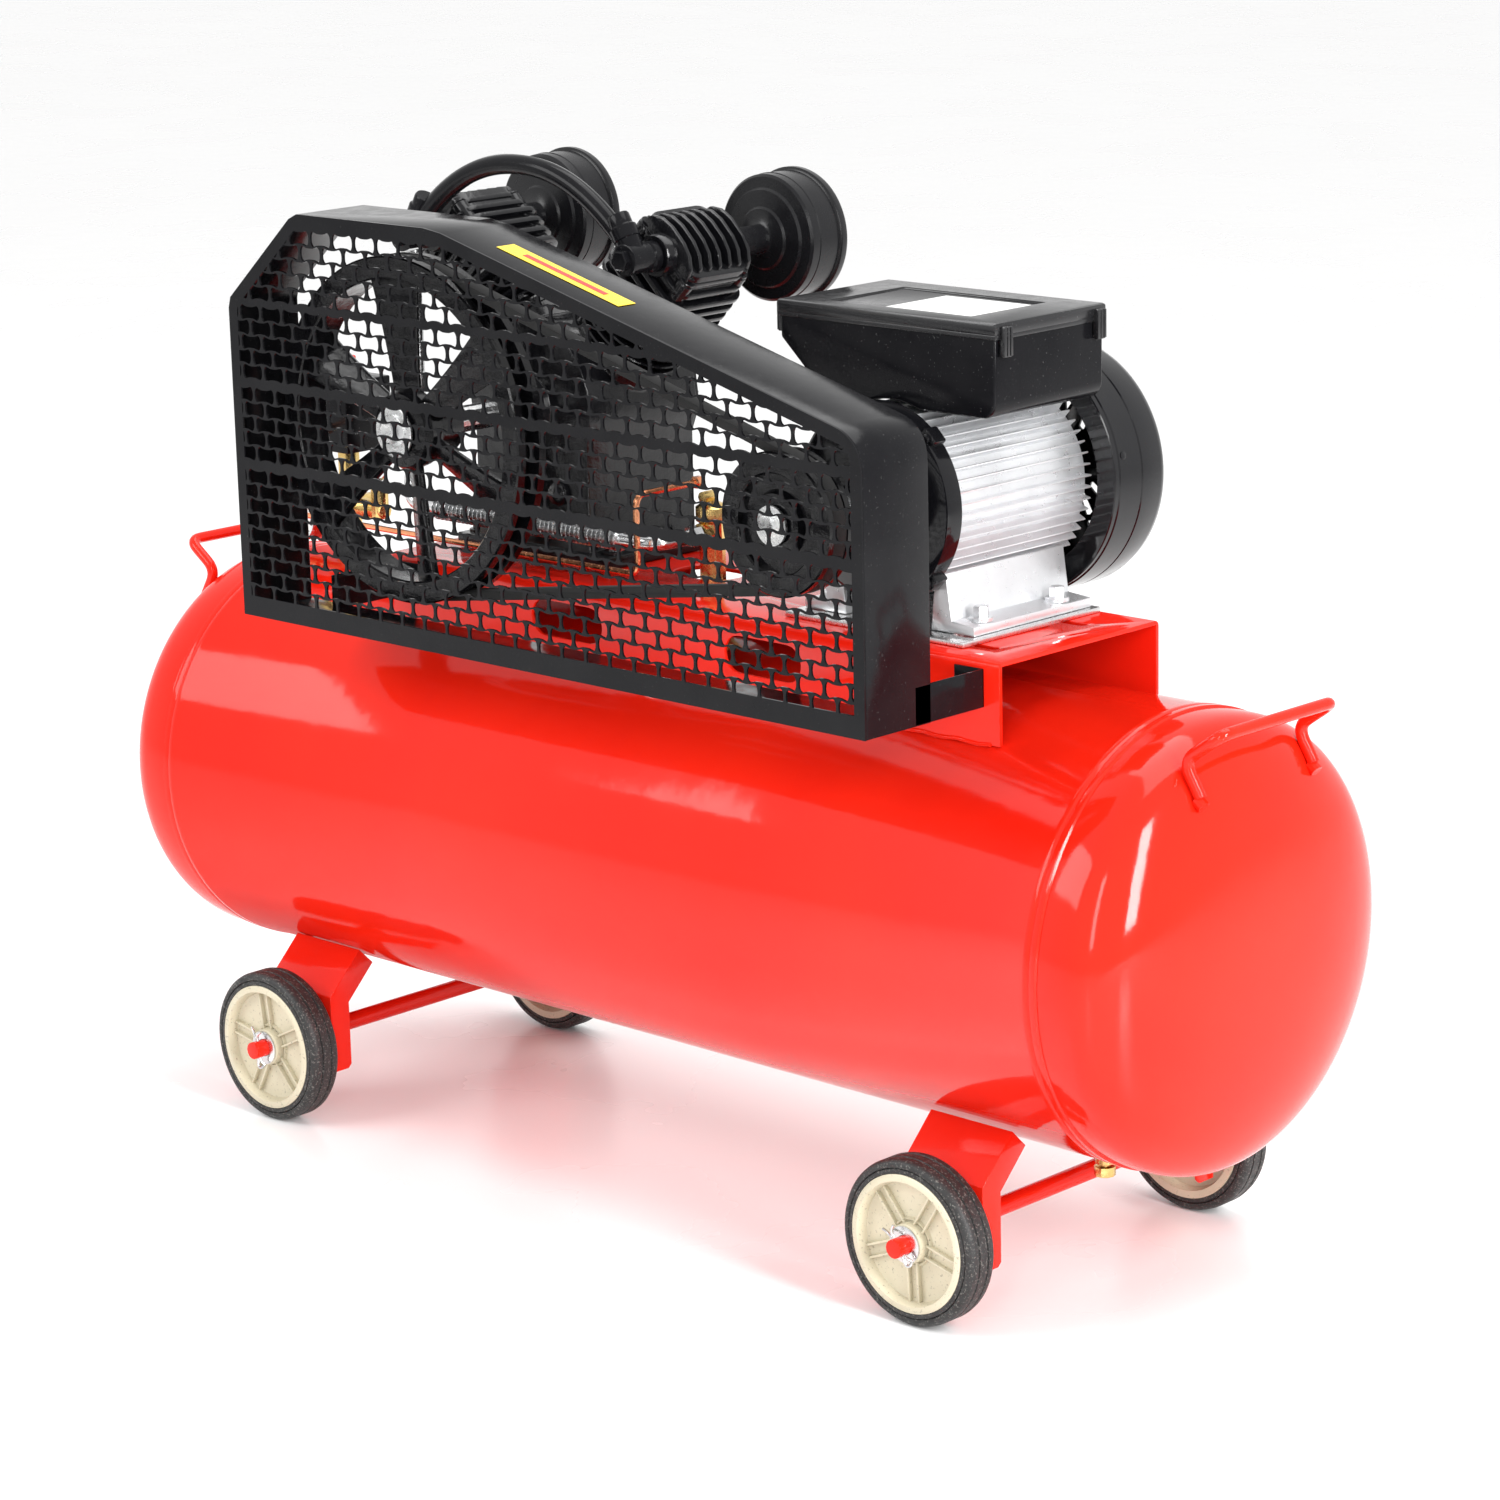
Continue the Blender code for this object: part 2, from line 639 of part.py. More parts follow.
def spoke(angle, end):
    """One flywheel spoke, a blade that leans more toward the rim."""
    along = Vector((cos(angle), 0, sin(angle)))
    across = Vector((-sin(angle), 0, cos(angle)))
    rings = []
    sections = ((0.026, 0.012, 0.0055, 18), (0.085, 0.017, 0.004, 32), (end, 0.024, 0.004, 38))
    for reach, half, thick, tilt in sections:
        lean = radians(tilt)
        flat = across * cos(lean) + AXES["Y"] * sin(lean)
        deep = AXES["Y"] * cos(lean) - across * sin(lean)
        middle = Vector((CRANK_X, BELT_Y, CRANK_Z)) + along * reach
        corners = [(-half, -thick), (half, -thick), (half, thick), (-half, thick)]
        rings.append([middle + flat * a + deep * b for a, b in corners])
    return loft("spoke", rings)


def flywheel():
    """A cast wheel whose six tilted spokes blow air over the pump."""
    centre = (CRANK_X, BELT_Y, CRANK_Z)
    inner = FLYWHEEL_R - 0.026
    wheel = lathe("flywheel", grooved_rim(FLYWHEEL_R, FLYWHEEL_HALF, inner), AXES["Y"], centre, 32)
    bore = SHAFT_R + GAP
    profile = [(bore, -0.020), (0.030, -0.020), (0.034, 0.014), (0.028, 0.042), (bore, 0.042)]
    spokes = [spoke(2 * pi * index / SPOKES + radians(12), inner + 0.004) for index in range(SPOKES)]
    core = rod("core", 0.020, (CRANK_X, BELT_Y - 0.05, CRANK_Z), (CRANK_X, BELT_Y + 0.05, CRANK_Z))
    wheel = cut(fuse(wheel, *spokes), core)
    return fuse(wheel, lathe("hub", profile, AXES["Y"], centre, 16))


def flywheel_bolt():
    front = BELT_Y - 0.0205
    washer = rod("flywheel_bolt", 0.024, (CRANK_X, front - 0.004, CRANK_Z), (CRANK_X, front, CRANK_Z), 20)
    head = prism("head", polygon(6, 0.0135, CRANK_X, CRANK_Z), front - 0.013, front - 0.002)
    return fuse(washer, head)


def motor_pulley():
    centre = (MOTOR_X, BELT_Y, MOTOR_Z)
    bore = SHAFT_R - 0.0002
    profile = [(bore, -PULLEY_HALF)]
    profile += grooved_rim(PULLEY_R, PULLEY_HALF, 0.0)[1:-1]
    profile += [(0.046, PULLEY_HALF), (0.042, 0.006), (0.024, 0.006), (0.022, 0.030), (bore, 0.030)]
    return lathe("motor_pulley", profile, AXES["Y"], centre, 24)


def belt_path():
    """The belt's centre line: (pulley centre, angle, radius) for each point, large pulley first."""
    large, small = FLYWHEEL_R - 0.0058, PULLEY_R - 0.0058
    gap = Vector((MOTOR_X - CRANK_X, MOTOR_Z - CRANK_Z))
    heading = Vector((gap.x, gap.y)).angle_signed(Vector((1, 0)))
    lean = (large - small) / gap.length
    wrap = pi / 2 - Vector((1, 0)).angle(Vector((sqrt(1 - lean * lean), lean)))
    loop = []
    for step in range(19):
        angle = heading + wrap + (2 * pi - 2 * wrap) * step / 18
        loop.append((Vector((CRANK_X, CRANK_Z)), angle, large))
    for step in range(9):
        angle = heading - wrap + 2 * wrap * step / 8
        loop.append((Vector((MOTOR_X, MOTOR_Z)), angle, small))
    return loop


def drive_belt():
    """The V-belt round both pulleys: two arcs and two straight runs."""
    mesh = bmesh.new()
    rings = []
    section = [
        (-BELT_HALF_TALL, -BELT_HALF_NARROW), (BELT_HALF_TALL, -BELT_HALF_WIDE),
        (BELT_HALF_TALL, BELT_HALF_WIDE), (-BELT_HALF_TALL, BELT_HALF_NARROW),
    ]
    for centre, angle, radius in belt_path():
        out = Vector((cos(angle), sin(angle)))
        ring = []
        for tall, wide in section:
            flat = centre + out * (radius + tall)
            ring.append(mesh.verts.new((flat.x, BELT_Y + wide, flat.y)))
        rings.append(ring)
    for first, second in zip(rings, rings[1:] + rings[:1]):
        for step in range(4):
            after = (step + 1) % 4
            mesh.faces.new([first[step], first[after], second[after], second[step]])
    return object_from("drive_belt", mesh)


# ---------------------------------------------------------------- pump

def case_rod(name, radius, front, rear, segments=16):
    """A cylinder on the crankshaft's axis."""
    return rod(name, radius, (CRANK_X, front, CRANK_Z), (CRANK_X, rear, CRANK_Z), segments)


def crankcase():
    """A cast case on feet, bored for the crankshaft and both cylinders."""
    floor = DECK_TOP + GAP
    left, right = CRANK_X - CASE_HALF, CRANK_X + CASE_HALF
    foot_left, foot_right = CRANK_X - CASE_FOOT_HALF, CRANK_X + CASE_FOOT_HALF
    parts = [
        block("sump", (left, CASE_FRONT, floor + 0.004), (right, CASE_REAR, CRANK_Z)),
        block("feet", (foot_left, CASE_FRONT - 0.004, floor), (foot_right, CASE_REAR, CASE_FOOT_TOP)),
        case_rod("nose", 0.030, CASE_FRONT - 0.020, CASE_FRONT + 0.005),
    ]
    wall, beyond = CASE_WALL, CASE_REAR + 0.01
    hollows = [
        case_rod("hollow", CASE_R - wall, CASE_FRONT + wall, beyond, 20),
        block("well", (left + wall, CASE_FRONT + wall, floor + 0.014), (right - wall, beyond, CRANK_Z)),
        case_rod("bore", SHAFT_R + GAP, CASE_FRONT - 0.05, CASE_FRONT + 0.05),
    ]
    for side in (-1, 1):
        parts.append(rod("pad", BARREL_R + 0.006, bank_point(side, 0.05), bank_point(side, DECK_D), 20))
        low, high = bank_point(side, 0.03), bank_point(side, DECK_D + 0.02)
        hollows.append(rod("barrel", BORE_R + 0.0002, low, high, 16))
    case = fuse(case_rod("crankcase", CASE_R, CASE_FRONT, CASE_REAR, 24), *parts, solver="MANIFOLD")
    return cut(case, *hollows, solver="MANIFOLD")


def bearing_cover():
    """The plate that closes the case and carries the crankshaft's rear end."""
    start = CASE_REAR + GAP
    profile = [
        (SHAFT_R + GAP, start), (0.078, start), (0.078, start + 0.007), (0.034, start + 0.008),
        (0.030, COVER_REAR + 0.004), (0.0, COVER_REAR + 0.004), (0.0, COVER_REAR),
        (SHAFT_R + GAP, COVER_REAR),
    ]
    return lathe("bearing_cover", profile, AXES["Y"], (CRANK_X, 0, CRANK_Z), 24)


def crankshaft():
    """The shaft with one throw between two webs."""
    front, rear = BELT_Y - 0.0198, COVER_REAR - GAP
    shaft = case_rod("crankshaft", SHAFT_R, front, PUMP_Y - 0.020)
    tail = case_rod("tail", SHAFT_R, PUMP_Y + 0.020, rear)
    webs = [case_rod("web", WEB_R, PUMP_Y + low, PUMP_Y + low + 0.014, 20) for low in (-0.032, 0.018)]
    pin_z = CRANK_Z + THROW
    pin = rod("pin", PIN_R, (CRANK_X, PUMP_Y - 0.022, pin_z), (CRANK_X, PUMP_Y + 0.022, pin_z), 12)
    return fuse(shaft, webs[0], pin, webs[1], tail)


def piston(name, side):
    """A piston open below, with its pin across it, at the middle of its stroke."""
    top, bottom = PISTON_TOP, PISTON_TOP - PISTON_TALL
    radius = BORE_R - 2 * GAP
    profile = [
        (0, top), (radius, top), (radius, bottom),
        (radius - 0.005, bottom), (radius - 0.005, top - 0.006), (0, top - 0.006),
    ]
    cup = lathe(name, profile, bank_axis(side), (CRANK_X, PUMP_Y, CRANK_Z), 16)
    middle = bank_point(side, top - 0.018)
    reach = Vector((0, radius - 0.003, 0))
    return fuse(cup, rod("pin", 0.0065, middle - reach, middle + reach, 12))


def connecting_rod(name, side):
    """The rod from the piston's pin toward the crank, ending clear of the crank's sweep."""
    pin = PISTON_TOP - 0.018
    half = 0.007
    profile = [(0.0065 + GAP, -half), (0.0105, -half), (0.0105, half), (0.0065 + GAP, half)]
    eye = lathe(name, profile, AXES["Y"], bank_point(side, pin), 12)
    low, high = 0.062, pin - 0.009
    rings = []
    for along, across in ((low, 0.0075), (high, 0.0055)):
        corners = ((-across, -half), (across, -half), (across, half), (-across, half))
        rings.append([bank_point(side, along, a, PUMP_Y + b) for a, b in corners])
    return fuse(eye, loft("shank", rings))


def cylinder(name, side):
    """A finned barrel on the crankcase."""
    start, end = DECK_D + GAP, BARREL_END
    collar = BARREL_R + 0.005
    profile = [(BORE_R, start), (collar, start), (collar, start + 0.006), (BARREL_R, start + 0.007)]
    pitch = (end - start - 0.012) / FINS
    for fin in range(FINS):
        base = start + 0.010 + fin * pitch
        profile += [(BARREL_R, base), (FIN_R, base + 0.0008)]
        profile += [(FIN_R, base + 0.0034), (BARREL_R, base + 0.0042)]
    profile += [(collar, end - 0.001), (collar, end), (BORE_R, end)]
    return lathe(name, profile, bank_axis(side), (CRANK_X, PUMP_Y, CRANK_Z), 16)


def head(name, side):
    """A finned head with an intake port at its back and an outlet at its front."""
    start = BARREL_END + GAP
    levels = [(start, HEAD_HALF)]
    pitch = (HEAD_END - start - 0.020) / 3
    for fin in range(3):
        base = start + 0.012 + fin * pitch
        half = HEAD_HALF - 0.0008 * fin * fin
        levels += [(base, half), (base + 0.002, half - 0.009)]
        levels += [(base + pitch * 0.45, half - 0.009), (base + pitch * 0.55, half)]
    levels.append((HEAD_END, HEAD_HALF - 0.016))
    rings = []
    for along, half in levels:
        corner = 0.018
        ring = []
        for quarter in range(4):
            for step in range(2):
                angle = pi / 2 * quarter + pi / 2 * step
                across = (half - corner) * (1 if quarter in (0, 3) else -1) + corner * cos(angle)
                deep = (half - corner) * (1 if quarter in (0, 1) else -1) + corner * sin(angle)
                ring.append(bank_point(side, along, across, PUMP_Y + deep))
        rings.append(ring)
    reach = HEAD_HALF + 0.003
    ends = [bank_point(side, FILTER_D, 0, PUMP_Y - reach), bank_point(side, FILTER_D, 0, PUMP_Y + reach)]
    casting = fuse(loft(name, rings), rod("boss", 0.020, *ends, 14))
    low, high = bank_point(side, BARREL_END - 0.01), bank_point(side, FILTER_D - 0.022)
    return cut(casting, rod("chamber", BORE_R - 0.002, low, high, 14))


def air_filter(name, side):
    """A round intake silencer with a stepped face and a lipped cover."""
    middle = bank_point(side, FILTER_D, 0, 0)
    neck = PUMP_Y + HEAD_HALF + 0.003 + GAP
    profile = [
        (0, neck), (0.014, neck), (0.014, FILTER_Y - 0.007), (0.029, FILTER_Y - 0.005),
        (0.047, FILTER_Y - 0.002), (FILTER_R, FILTER_Y + 0.002),
        (FILTER_R, FILTER_END - 0.009), (FILTER_LIP_R, FILTER_END - 0.008),
        (FILTER_LIP_R, FILTER_END - 0.001),
        (FILTER_LIP_R - 0.003, FILTER_END), (0, FILTER_END),
    ]
    return lathe(name, profile, AXES["Y"], middle, 22)


def elbow_centre(side):
    return bank_point(side, FILTER_D, 0, PIPE_Y)


def link_pipe():
    """The pipe that joins both heads, with an elbow and a nut at each end."""
    left, right = elbow_centre(-1), elbow_centre(1)
    path = []
    for step in range(13):
        part = step / 12
        lift = (LINK_TOP - left.z) * (1 - abs(2 * part - 1) ** 2.2)
        path.append((left.x + (right.x - left.x) * part, PIPE_Y, left.z + lift))
    pipe = sweep("link_pipe", path, PIPE_R, 8)
    parts = []
    for side, point in ((-1, left), (1, right)):
        seat = PUMP_Y - HEAD_HALF - 0.003 - GAP
        parts.append(rod("elbow", 0.0135, (point.x, PIPE_Y - 0.014, point.z), (point.x, seat, point.z), 12))
        parts.append(prism("nut", polygon(6, 0.0105, point.x, point.z), PIPE_Y - 0.022, PIPE_Y - 0.010))
        away = Vector((-side * 0.55, 0, 0.83)).normalized()
        parts.append(rod("collar", 0.0125, point + away * 0.006, point + away * 0.040, 10))
    return fuse(pipe, *parts)


def discharge_tube():
    """The finned tube from the left elbow down and along to the check valve."""
    left = elbow_centre(-1)
    start = left + Vector((0, 0, -0.0145 - GAP))
    end_y = CHECK_Y - 0.017 - GAP
    corners = [
        start, (left.x, PIPE_Y, DISCHARGE_Z + 0.10), (left.x, DISCHARGE_Y, DISCHARGE_Z),
        (CHECK_X, DISCHARGE_Y, DISCHARGE_Z), (CHECK_X, end_y, DISCHARGE_Z),
    ]
    tube = sweep("discharge_tube", rounded_path(corners, 0.020, 3), 0.007, 8)
    rings = []
    for index in range(6):
        x = left.x + 0.045 + index * 0.048
        ends = [(x - 0.0025, DISCHARGE_Y, DISCHARGE_Z), (x + 0.0025, DISCHARGE_Y, DISCHARGE_Z)]
        rings.append(rod("ring", 0.0115, *ends, 8))
    return fuse(tube, *rings)


# ---------------------------------------------------------------- motor

def motor_rod(name, radius, front, rear, segments=16):
    """A cylinder on the motor's axis."""
    return rod(name, radius, (MOTOR_X, front, MOTOR_Z), (MOTOR_X, rear, MOTOR_Z), segments)


def motor_housing():
    """The finned aluminium body with its foot, open at the front."""
    outline = []
    for fin in range(HOUSING_FINS):
        middle = 2 * pi * (fin + 0.5) / HOUSING_FINS
        step = 2 * pi / HOUSING_FINS
        for radius, side, reach in (
            (HOUSING_R, -1, 0.34), (HOUSING_FIN_R, -1, 0.14), (HOUSING_FIN_R, 1, 0.14), (HOUSING_R, 1, 0.34),
        ):
            angle = middle + side * reach * step
            outline.append((MOTOR_X + radius * cos(angle), MOTOR_Z + radius * sin(angle)))
    body = prism("motor_housing", outline, HOUSING_FRONT, HOUSING_REAR)
    low = DECK_TOP + GAP + BASE_TALL + GAP
    half = [(0.100, low), (0.100, low + 0.009), (0.072, low + 0.011), (0.066, low + 0.052)]
    foot = [(MOTOR_X + x, z) for x, z in half] + [(MOTOR_X - x, z) for x, z in reversed(half)]
    body = fuse(body, prism("foot", foot, HOUSING_FRONT, HOUSING_REAR - 0.018))
    bore = motor_rod("bore", HOUSING_BORE, HOUSING_FRONT - 0.02, HOUSING_REAR - 0.006, 28)
    hole = motor_rod("hole", SHAFT_R + GAP, 0.0, HOUSING_REAR + 0.02)
    return cut(body, bore, hole)


def end_shield():
    """The front cover with its bearing boss and four screw lugs."""
    rear = HOUSING_FRONT - GAP
    rim, lug = HOUSING_R + 0.010, HOUSING_R + 0.012
    profile = [
        (SHAFT_R + GAP, rear), (rim, rear), (rim, SHIELD_FRONT + 0.006), (rim - 0.006, SHIELD_FRONT),
        (0.034, SHIELD_FRONT - 0.004), (0.028, SHIELD_FRONT - 0.018), (SHAFT_R + GAP, SHIELD_FRONT - 0.018),
    ]
    shield = lathe("end_shield", profile, AXES["Y"], (MOTOR_X, 0, MOTOR_Z), 28)
    lugs = []
    for index in range(4):
        angle = pi / 4 + index * pi / 2
        x, z = MOTOR_X + lug * cos(angle), MOTOR_Z + lug * sin(angle)
        lugs.append(prism("lug", polygon(8, 0.009, x, z), SHIELD_FRONT + 0.004, rear))
    return fuse(shield, *lugs)


def stator():
    inner, outer = ROTOR_R + 0.0008, HOUSING_BORE - 0.0004
    profile = [(inner, -0.045), (outer, -0.045), (outer, 0.090), (inner, 0.090)]
    return lathe("stator", profile, AXES["Y"], (MOTOR_X, 0, MOTOR_Z), 28)


def motor_rotor():
    """The shaft and rotor core, with the bolt that holds the pulley at its front end."""
    front = BELT_Y - 0.0185
    shaft = [
        (0, front), (0.0120, front), (0.0120, -0.050), (0.020, -0.045), (ROTOR_R, -0.040),
        (ROTOR_R, 0.085), (0.020, 0.090), (0.0120, 0.095), (0.0120, 0.163), (0, 0.163),
    ]
    rotor = lathe("motor_rotor", shaft, AXES["Y"], (MOTOR_X, 0, MOTOR_Z), 20)
    washer = motor_rod("washer", 0.0175, front - 0.002, front + 0.0005, 24)
    bolt = prism("bolt", polygon(6, 0.010, MOTOR_X, MOTOR_Z), front - 0.009, front - 0.001)
    return fuse(rotor, washer, bolt)


def motor_fan():
    bore, tip = 0.0120 + GAP, FAN_COVER_R - 0.0155
    profile = [(bore, 0.124), (0.024, 0.124), (0.024, 0.158), (bore, 0.158)]
    hub = lathe("motor_fan", profile, AXES["Y"], (MOTOR_X, 0, MOTOR_Z), 20)
    blades = []
    for index in range(7):
        angle = 2 * pi * index / 7
        along = Vector((cos(angle), sin(angle)))
        across = Vector((-sin(angle), cos(angle)))
        corners = [(0.021, -0.0015), (tip, -0.0015), (tip, 0.0015), (0.021, 0.0015)]
        outline = [along * a + across * b for a, b in corners]
        blades.append(prism("blade", [(MOTOR_X + p.x, MOTOR_Z + p.y) for p in outline], 0.128, 0.154))
    return fuse(hub, *blades)


def fan_cover():
    """The cup over the fan, pierced at its back by a ring of slots."""
    start, end, wall = HOUSING_REAR + 2 * GAP, FAN_COVER_END, 0.0025
    profile = [
        (FAN_COVER_R - wall, start), (FAN_COVER_R, start), (FAN_COVER_R, end - 0.010),
        (FAN_COVER_R - 0.008, end), (0, end), (0, end - wall),
        (FAN_COVER_R - wall - 0.007, end - wall), (FAN_COVER_R - wall, end - 0.011),
    ]
    cover = lathe("fan_cover", profile, AXES["Y"], (MOTOR_X, 0, MOTOR_Z), 24)
    shape = ((-0.011, -0.004), (0.011, -0.006), (0.011, 0.006), (-0.011, 0.004))
    slots = bmesh.new()
    for radius, count in ((0.045, 5), (0.080, 8)):
        for index in range(count):
            angle = 2 * pi * (index + 0.5) / count
            along = Vector((cos(angle), sin(angle)))
            across = Vector((-sin(angle), cos(angle)))
            points = [along * (radius + a) + across * b for a, b in shape]
            add_prism(slots, [(MOTOR_X + p.x, MOTOR_Z + p.y) for p in points], end - 0.01, end + 0.01)
    return cut(cover, object_from("slots", slots))


def base_plate():
    low, high = DECK_TOP + GAP, DECK_TOP + GAP + BASE_TALL
    return block("base_plate", (MOTOR_X - BASE_HALF, BASE_FRONT, low), (MOTOR_X + BASE_HALF, BASE_REAR, high))


def terminal_box():
    """The capacitor and terminal box that sits on the housing, with its cable gland."""
    top = BOX_TOP - LID_TALL - GAP
    half = [(BOX_NECK_HALF, BOX_NECK_Z), (BOX_HALF - 0.003, BOX_SIDE_Z), (BOX_HALF - 0.002, top)]
    outline = [(BOX_X + x, z) for x, z in half] + [(BOX_X - x, z) for x, z in reversed(half)]
    box = prism("terminal_box", outline, BOX_FRONT + 0.002, BOX_REAR - 0.002)
    x, z = BOX_X + 0.040, BOX_SIDE_Z - 0.005
    box = fuse(box, rod("gland", 0.011, (x, BOX_REAR - 0.004, z), (x, BOX_REAR + 0.018, z)))
    room = BOX_HALF - 0.006
    low = (BOX_X - room, BOX_FRONT + 0.006, BOX_SIDE_Z + 0.003)
    high = (BOX_X + room, BOX_REAR - 0.006, top + 0.01)
    saddle = motor_rod("saddle", HOUSING_FIN_R + 3 * GAP, -0.2, 0.2, 40)
    return cut(box, block("hollow", low, high), saddle)


def box_lid():
    """The lid with a shallow panel and a clip post at each corner."""
    low, high = BOX_TOP - LID_TALL, BOX_TOP
    left, right = BOX_X - BOX_HALF, BOX_X + BOX_HALF
    lid = block("box_lid", (left, BOX_FRONT, low), (right, BOX_REAR, high))
    posts = []
    for x in (left - 0.002, right + 0.002):
        for y in (BOX_FRONT + 0.012, BOX_REAR - 0.012):
            foot, head_end = (x - 0.0035, y - 0.005, low - 0.018), (x + 0.0035, y + 0.005, high - 0.003)
            posts.append(block("post", foot, head_end))
    lid = fuse(lid, *posts)
    near, far = BOX_FRONT - 0.01, BOX_REAR + 0.01
    room = block("room", (left + 0.001, near, low - 0.03), (right - 0.001, far, low - 0.00001))
    near, far = BOX_FRONT + 0.022, BOX_REAR - 0.030
    panel = block("panel", (BOX_X - 0.050, near, high - 0.002), (BOX_X + 0.072, far, high + 0.01))
    return cut(lid, room, panel)


# ---------------------------------------------------------------- air fittings

def check_valve():
    """The valve in the tank's top that the discharge tube feeds."""
    skin = tank_top_z(CHECK_Y)
    base = (CHECK_X, CHECK_Y, 0)
    profile = [
        (0, skin - 0.008), (PORT_R, skin - 0.008), (PORT_R, skin + 0.003),
        (0.0165, skin + 0.003), (0.0165, skin + 0.020),
        (0.0125, skin + 0.022), (0.0125, CHECK_TOP - 0.018),
        (0.0155, CHECK_TOP - 0.016), (0.0155, CHECK_TOP - 0.004),
        (0.010, CHECK_TOP), (0, CHECK_TOP),
    ]
    valve = lathe("check_valve", profile, AXES["Z"], base, 12)
    near = CHECK_Y - 0.0165
    inlet = rod("inlet", 0.0105, (CHECK_X, near, DISCHARGE_Z), (CHECK_X, CHECK_Y, DISCHARGE_Z), 10)
    top_z = CHECK_TOP + 0.0095
    stem = rod("stem", 0.004, (CHECK_X, CHECK_Y, CHECK_TOP - 0.002), (CHECK_X, CHECK_Y, top_z), 8)
    near, far, z = CHECK_Y - 0.012, CHECK_Y + 0.004, top_z - 0.003
    outlet = rod("outlet", 0.0055, (CHECK_X, near, z), (CHECK_X, far, z), 8)
    return fuse(valve, inlet, stem, outlet)


def unloader_tube():
    """The copper tube from the check valve to the pressure switch."""
    high, switch_z = CHECK_TOP + 0.0065, MANIFOLD_TOP + 0.022
    corners = [
        (CHECK_X, CHECK_Y - 0.012 - GAP, high), (CHECK_X, UNLOADER_Y, high),
        (CHECK_X, UNLOADER_Y, UNLOADER_Z), (MANIFOLD_X, UNLOADER_Y, UNLOADER_Z),
        (MANIFOLD_X, UNLOADER_Y, switch_z), (MANIFOLD_X, -0.030 - GAP, switch_z),
    ]
    return sweep("unloader_tube", rounded_path(corners, 0.012, 3), UNLOADER_R, 6)


def manifold():
    """The brass block on the tank that carries the switch, gauge, tap and safety valve."""
    profile = [
        (0, TANK_TOP - 0.008), (PORT_R, TANK_TOP - 0.008), (PORT_R, TANK_TOP + 0.003),
        (0.0150, TANK_TOP + 0.003), (0.0150, TANK_TOP + 0.016), (0.0110, TANK_TOP + 0.018),
        (0.0110, MANIFOLD_TOP - GAP), (0, MANIFOLD_TOP - GAP),
    ]
    column = lathe("manifold", profile, AXES["Z"], (MANIFOLD_X, 0, 0), 12)
    arms = [
        rod("arm", 0.010, (MANIFOLD_X, -0.030, MANIFOLD_Z), (MANIFOLD_X, 0.030, MANIFOLD_Z), 10),
        rod("arm", 0.010, (MANIFOLD_X - 0.030, 0, MANIFOLD_Z), (MANIFOLD_X + 0.030, 0, MANIFOLD_Z), 10),
    ]
    return fuse(column, *arms)


def pressure_switch():
    low = MANIFOLD_TOP
    left, right = MANIFOLD_X - 0.034, MANIFOLD_X + 0.034
    body = block("pressure_switch", (left, -0.030, low), (right, 0.030, low + 0.072))
    collar = rod("collar", 0.012, (MANIFOLD_X, 0, low + 0.068), (MANIFOLD_X, 0, low + 0.076), 16)
    body = fuse(body, collar)
    return cut(body, rod("hole", 0.0075, (MANIFOLD_X, 0, low + 0.045), (MANIFOLD_X, 0, low + 0.09), 16))


def switch_button():
    top = MANIFOLD_TOP + 0.076
    stem = rod("switch_button", 0.0068, (MANIFOLD_X, 0, top - 0.020), (MANIFOLD_X, 0, top + 0.010), 16)
    return fuse(stem, rod("cap", 0.0115, (MANIFOLD_X, 0, top + 0.008), (MANIFOLD_X, 0, top + 0.016), 20))


def pressure_gauge():
    """A round gauge on the manifold's front arm."""
    start = -0.030 - GAP
    profile = [
        (0, start), (0.006, start), (0.006, start - 0.012), (0.024, start - 0.014), (0.025, start - 0.016),
        (0.025, start - 0.038), (0.022, start - 0.040), (0.022, start - 0.037), (0, start - 0.037),
    ]
    return lathe("pressure_gauge", profile[::-1], AXES["Y"], (MANIFOLD_X, 0, MANIFOLD_Z), 16)


def outlet_tap():
    """A quarter-turn tap on the manifold's left arm."""
    x = MANIFOLD_X - 0.030 - GAP
    profile = [
        (0, 0), (0.0085, 0), (0.0085, 0.010), (0.0125, 0.012), (0.0125, 0.030), (0.0085, 0.032),
        (0.0085, 0.046), (0.0060, 0.047), (0.0060, 0.058), (0, 0.058),
    ]
    body = lathe("outlet_tap", profile, -AXES["X"], (x, 0, MANIFOLD_Z), 12)
    neck = rod("neck", 0.005, (x - 0.021, 0, MANIFOLD_Z + 0.005), (x - 0.021, 0, MANIFOLD_Z + 0.0185), 8)
    return fuse(body, neck)


def tap_lever():
    x = MANIFOLD_X - 0.051 - GAP
    low = MANIFOLD_Z + 0.0185 + GAP
    hub = rod("tap_lever", 0.0075, (x, 0, low), (x, 0, low + 0.006), 12)
    return fuse(hub, block("arm", (x - 0.045, -0.0045, low + 0.001), (x, 0.0045, low + 0.0045)))


def safety_valve():
    x = MANIFOLD_X + 0.030 + GAP
    body = rod("safety_valve", 0.0080, (x, 0, MANIFOLD_Z), (x + 0.022, 0, MANIFOLD_Z), 10)
    column = x + 0.014
    drop = rod("drop", 0.0090, (column, 0, MANIFOLD_Z - 0.006), (column, 0, MANIFOLD_Z + 0.026), 10)
    hole = rod("hole", 0.0030, (column, 0, MANIFOLD_Z + 0.010), (column, 0, MANIFOLD_Z + 0.04), 8)
    return cut(fuse(body, drop), hole)


